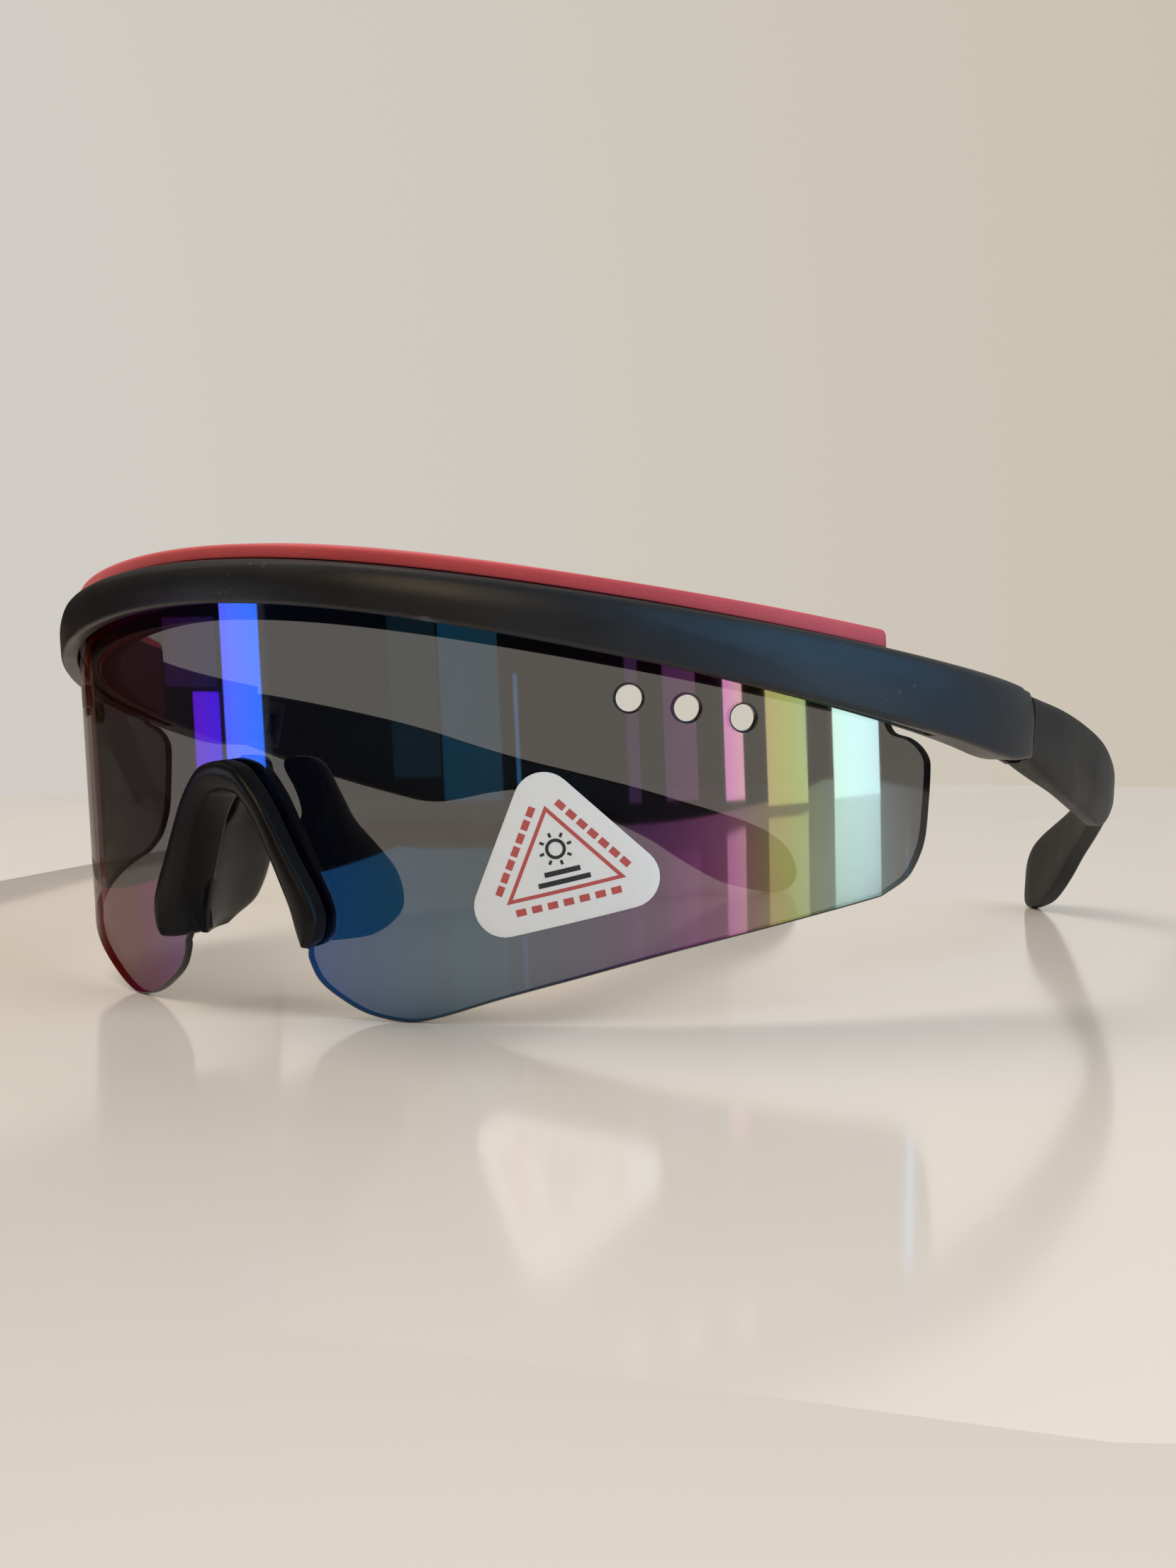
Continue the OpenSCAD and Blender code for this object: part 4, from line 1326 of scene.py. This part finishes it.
def mirrored_only(name, verts, faces, tint, strength):
    """Glowing surface that shows in reflections alone."""
    m = bpy.data.materials.new(name)
    m.use_nodes = True
    tree = m.node_tree
    tree.nodes.clear()
    glow = tree.nodes.new("ShaderNodeEmission")
    glow.inputs["Color"].default_value = (*tint, 1)
    glow.inputs["Strength"].default_value = strength
    out = tree.nodes.new("ShaderNodeOutputMaterial")
    tree.links.new(glow.outputs[0], out.inputs["Surface"])
    obj = new_object(name, verts, faces, [m])
    for ray in ("camera", "diffuse", "shadow", "transmission"):
        setattr(obj, f"visible_{ray}", False)


def make_screen():
    verts = [Vector((x, y, z)) * MM for x, y in SCREEN for z in (0, SCREEN_H)]
    faces = [(2 * k, 2 * k + 2, 2 * k + 3, 2 * k + 1) for k in range(len(SCREEN) - 1)]
    mirrored_only("screen", verts, faces, (1, 0.9, 0.85), 0.012)


def make_card(name, s0, s1, z0, z1, tint, strength):
    """Bright card that mirrors in the lens between two places and two heights."""
    steps, rows = 8, 6
    verts = []
    for k in range(steps + 1):
        s = s0 + (s1 - s0) * k / steps
        verts += [glance(s, z0 + (z1 - z0) * i / rows) * MM for i in range(rows + 1)]
    faces = []
    for a in range(0, steps * (rows + 1), rows + 1):
        faces += band(a, a + rows + 1, rows + 1, False)
    mirrored_only(name, verts, faces, tint, strength)


# What the photo's lens mirrors: place round the face, heights, colour and strength
CARDS = [
    ("card_far_left", -70, -42, 16, 50, (1, 0.9, 0.74), 0.4),
    ("card_brown", -41, -36, 13, 48, (1, 0.42, 0.22), 0.2),
    ("card_red", -30, -13, 27, 48, (1, 0.2, 0.15), 0.04),
    ("card_haze", -12, -1.6, 41.2, 50, (1, 0.8, 0.9), 0.14),
    ("card_violet", -6.4, -1.4, 29, 40.6, (0.5, 0.1, 1), 2.2),
    ("card_blue", -0.6, 5.8, 27, 52, (0.8, 0.9, 1), 3.2),
    ("card_rose", 24, 30, 30, 50, (1, 0.6, 0.45), 0.2),
    ("card_teal", 30.3, 37.5, 27, 50, (0.7, 1, 1), 0.36),
    ("card_line", 39.2, 39.7, 28, 42, (0.6, 0.9, 1), 1.1),
    ("card_purple", 52.5, 54, 26, 46, (1, 0.9, 1), 0.3),
    ("card_purple_wide", 57, 61, 26, 46, (1, 0.9, 1), 0.34),
    ("card_magenta", 64.4, 66.8, 25.6, 46, (1, 0.95, 1), 2.2),
    ("card_yellow", 69.8, 75.2, 24.6, 44, (1, 1, 0.85), 1.5),
    ("card_green", 78.9, 85.8, 24.8, 42, (1, 0.99, 1), 2.9),
]


def softbox(name, place, aim, size, power, tint, mirrored=True, scattered=True):
    light = bpy.data.lights.new(name, "AREA")
    light.shape = "RECTANGLE"
    light.size, light.size_y = size
    light.energy = power
    light.color = tint
    obj = bpy.data.objects.new(name, light)
    obj.location = Vector(place) * MM
    direction = Vector(aim) * MM - obj.location
    obj.rotation_euler = direction.to_track_quat("-Z", "Y").to_euler()
    obj.visible_glossy = mirrored
    obj.visible_diffuse = scattered
    bpy.context.scene.collection.objects.link(obj)


make_screen()
for card in CARDS:
    make_card(*card)
softbox("key", (-420, -120, 620), (0, 0, 20), (0.5, 0.4), 3.6, (1, 0.9, 0.78))
softbox("fill", (620, -60, 420), (0, 0, 20), (0.5, 0.5), 2.2, (0.68, 0.84, 1))
softbox("back", (60, 620, 460), (0, 0, 20), (0.7, 0.4), 0.9, (1, 0.97, 0.93), False)
softbox("sky_sheen", (660, 20, 250), (60, 0, 40), (0.5, 0.4), 7.5, (0.2, 0.56, 1), scattered=False)
softbox("lamp_sheen", (130, -560, 300), (20, -80, 50), (0.12, 0.12), 1.2, (1, 0.75, 0.45),
        scattered=False)


# World: a pale room; mirrors see it dim in front, where the photographer stands
def make_world():
    world = bpy.data.worlds.new("room")
    bpy.context.scene.world = world
    world.use_nodes = True
    tree = world.node_tree
    tree.nodes.clear()
    coord = tree.nodes.new("ShaderNodeTexCoord").outputs["Generated"]
    axes = tree.nodes.new("ShaderNodeSeparateXYZ")
    tree.links.new(coord, axes.inputs[0])
    across, deep, height = axes.outputs
    # How far a direction points to the back of the room, away from the camera
    behind = math_node(tree, "ADD", math_node(tree, "MULTIPLY", across, ahead.x),
                       math_node(tree, "MULTIPLY", deep, ahead.y))

    def halved(v):
        """From the range -1 to 1 to the range 0 to 1."""
        return math_node(tree, "ADD", math_node(tree, "MULTIPLY", v, 0.5), 0.5)

    wall = ramp(tree, halved(across), [
        (0.08, (0.645, 0.62, 0.585)), (0.32, (0.60, 0.535, 0.44)), (0.9, (0.5, 0.45, 0.39)),
    ])
    mirrored = ramp(tree, halved(behind), [
        (0.35, (0.018, 0.019, 0.022)), (0.55, (0.06, 0.058, 0.055)), (0.75, (0.5, 0.48, 0.45)),
    ])
    ceiling = ramp(tree, height, [(0.3, grey(0)), (0.8, grey(0.25))])
    glossy = tree.nodes.new("ShaderNodeLightPath").outputs["Is Glossy Ray"]
    seen = mixed(tree, glossy, wall, mixed(tree, 1, mirrored, ceiling, "ADD"))
    sky = tree.nodes.new("ShaderNodeBackground")
    tree.links.new(seen, sky.inputs["Color"])
    out = tree.nodes.new("ShaderNodeOutputWorld")
    tree.links.new(sky.outputs[0], out.inputs["Surface"])


make_world()
bpy.context.scene.view_settings.view_transform = "Standard"
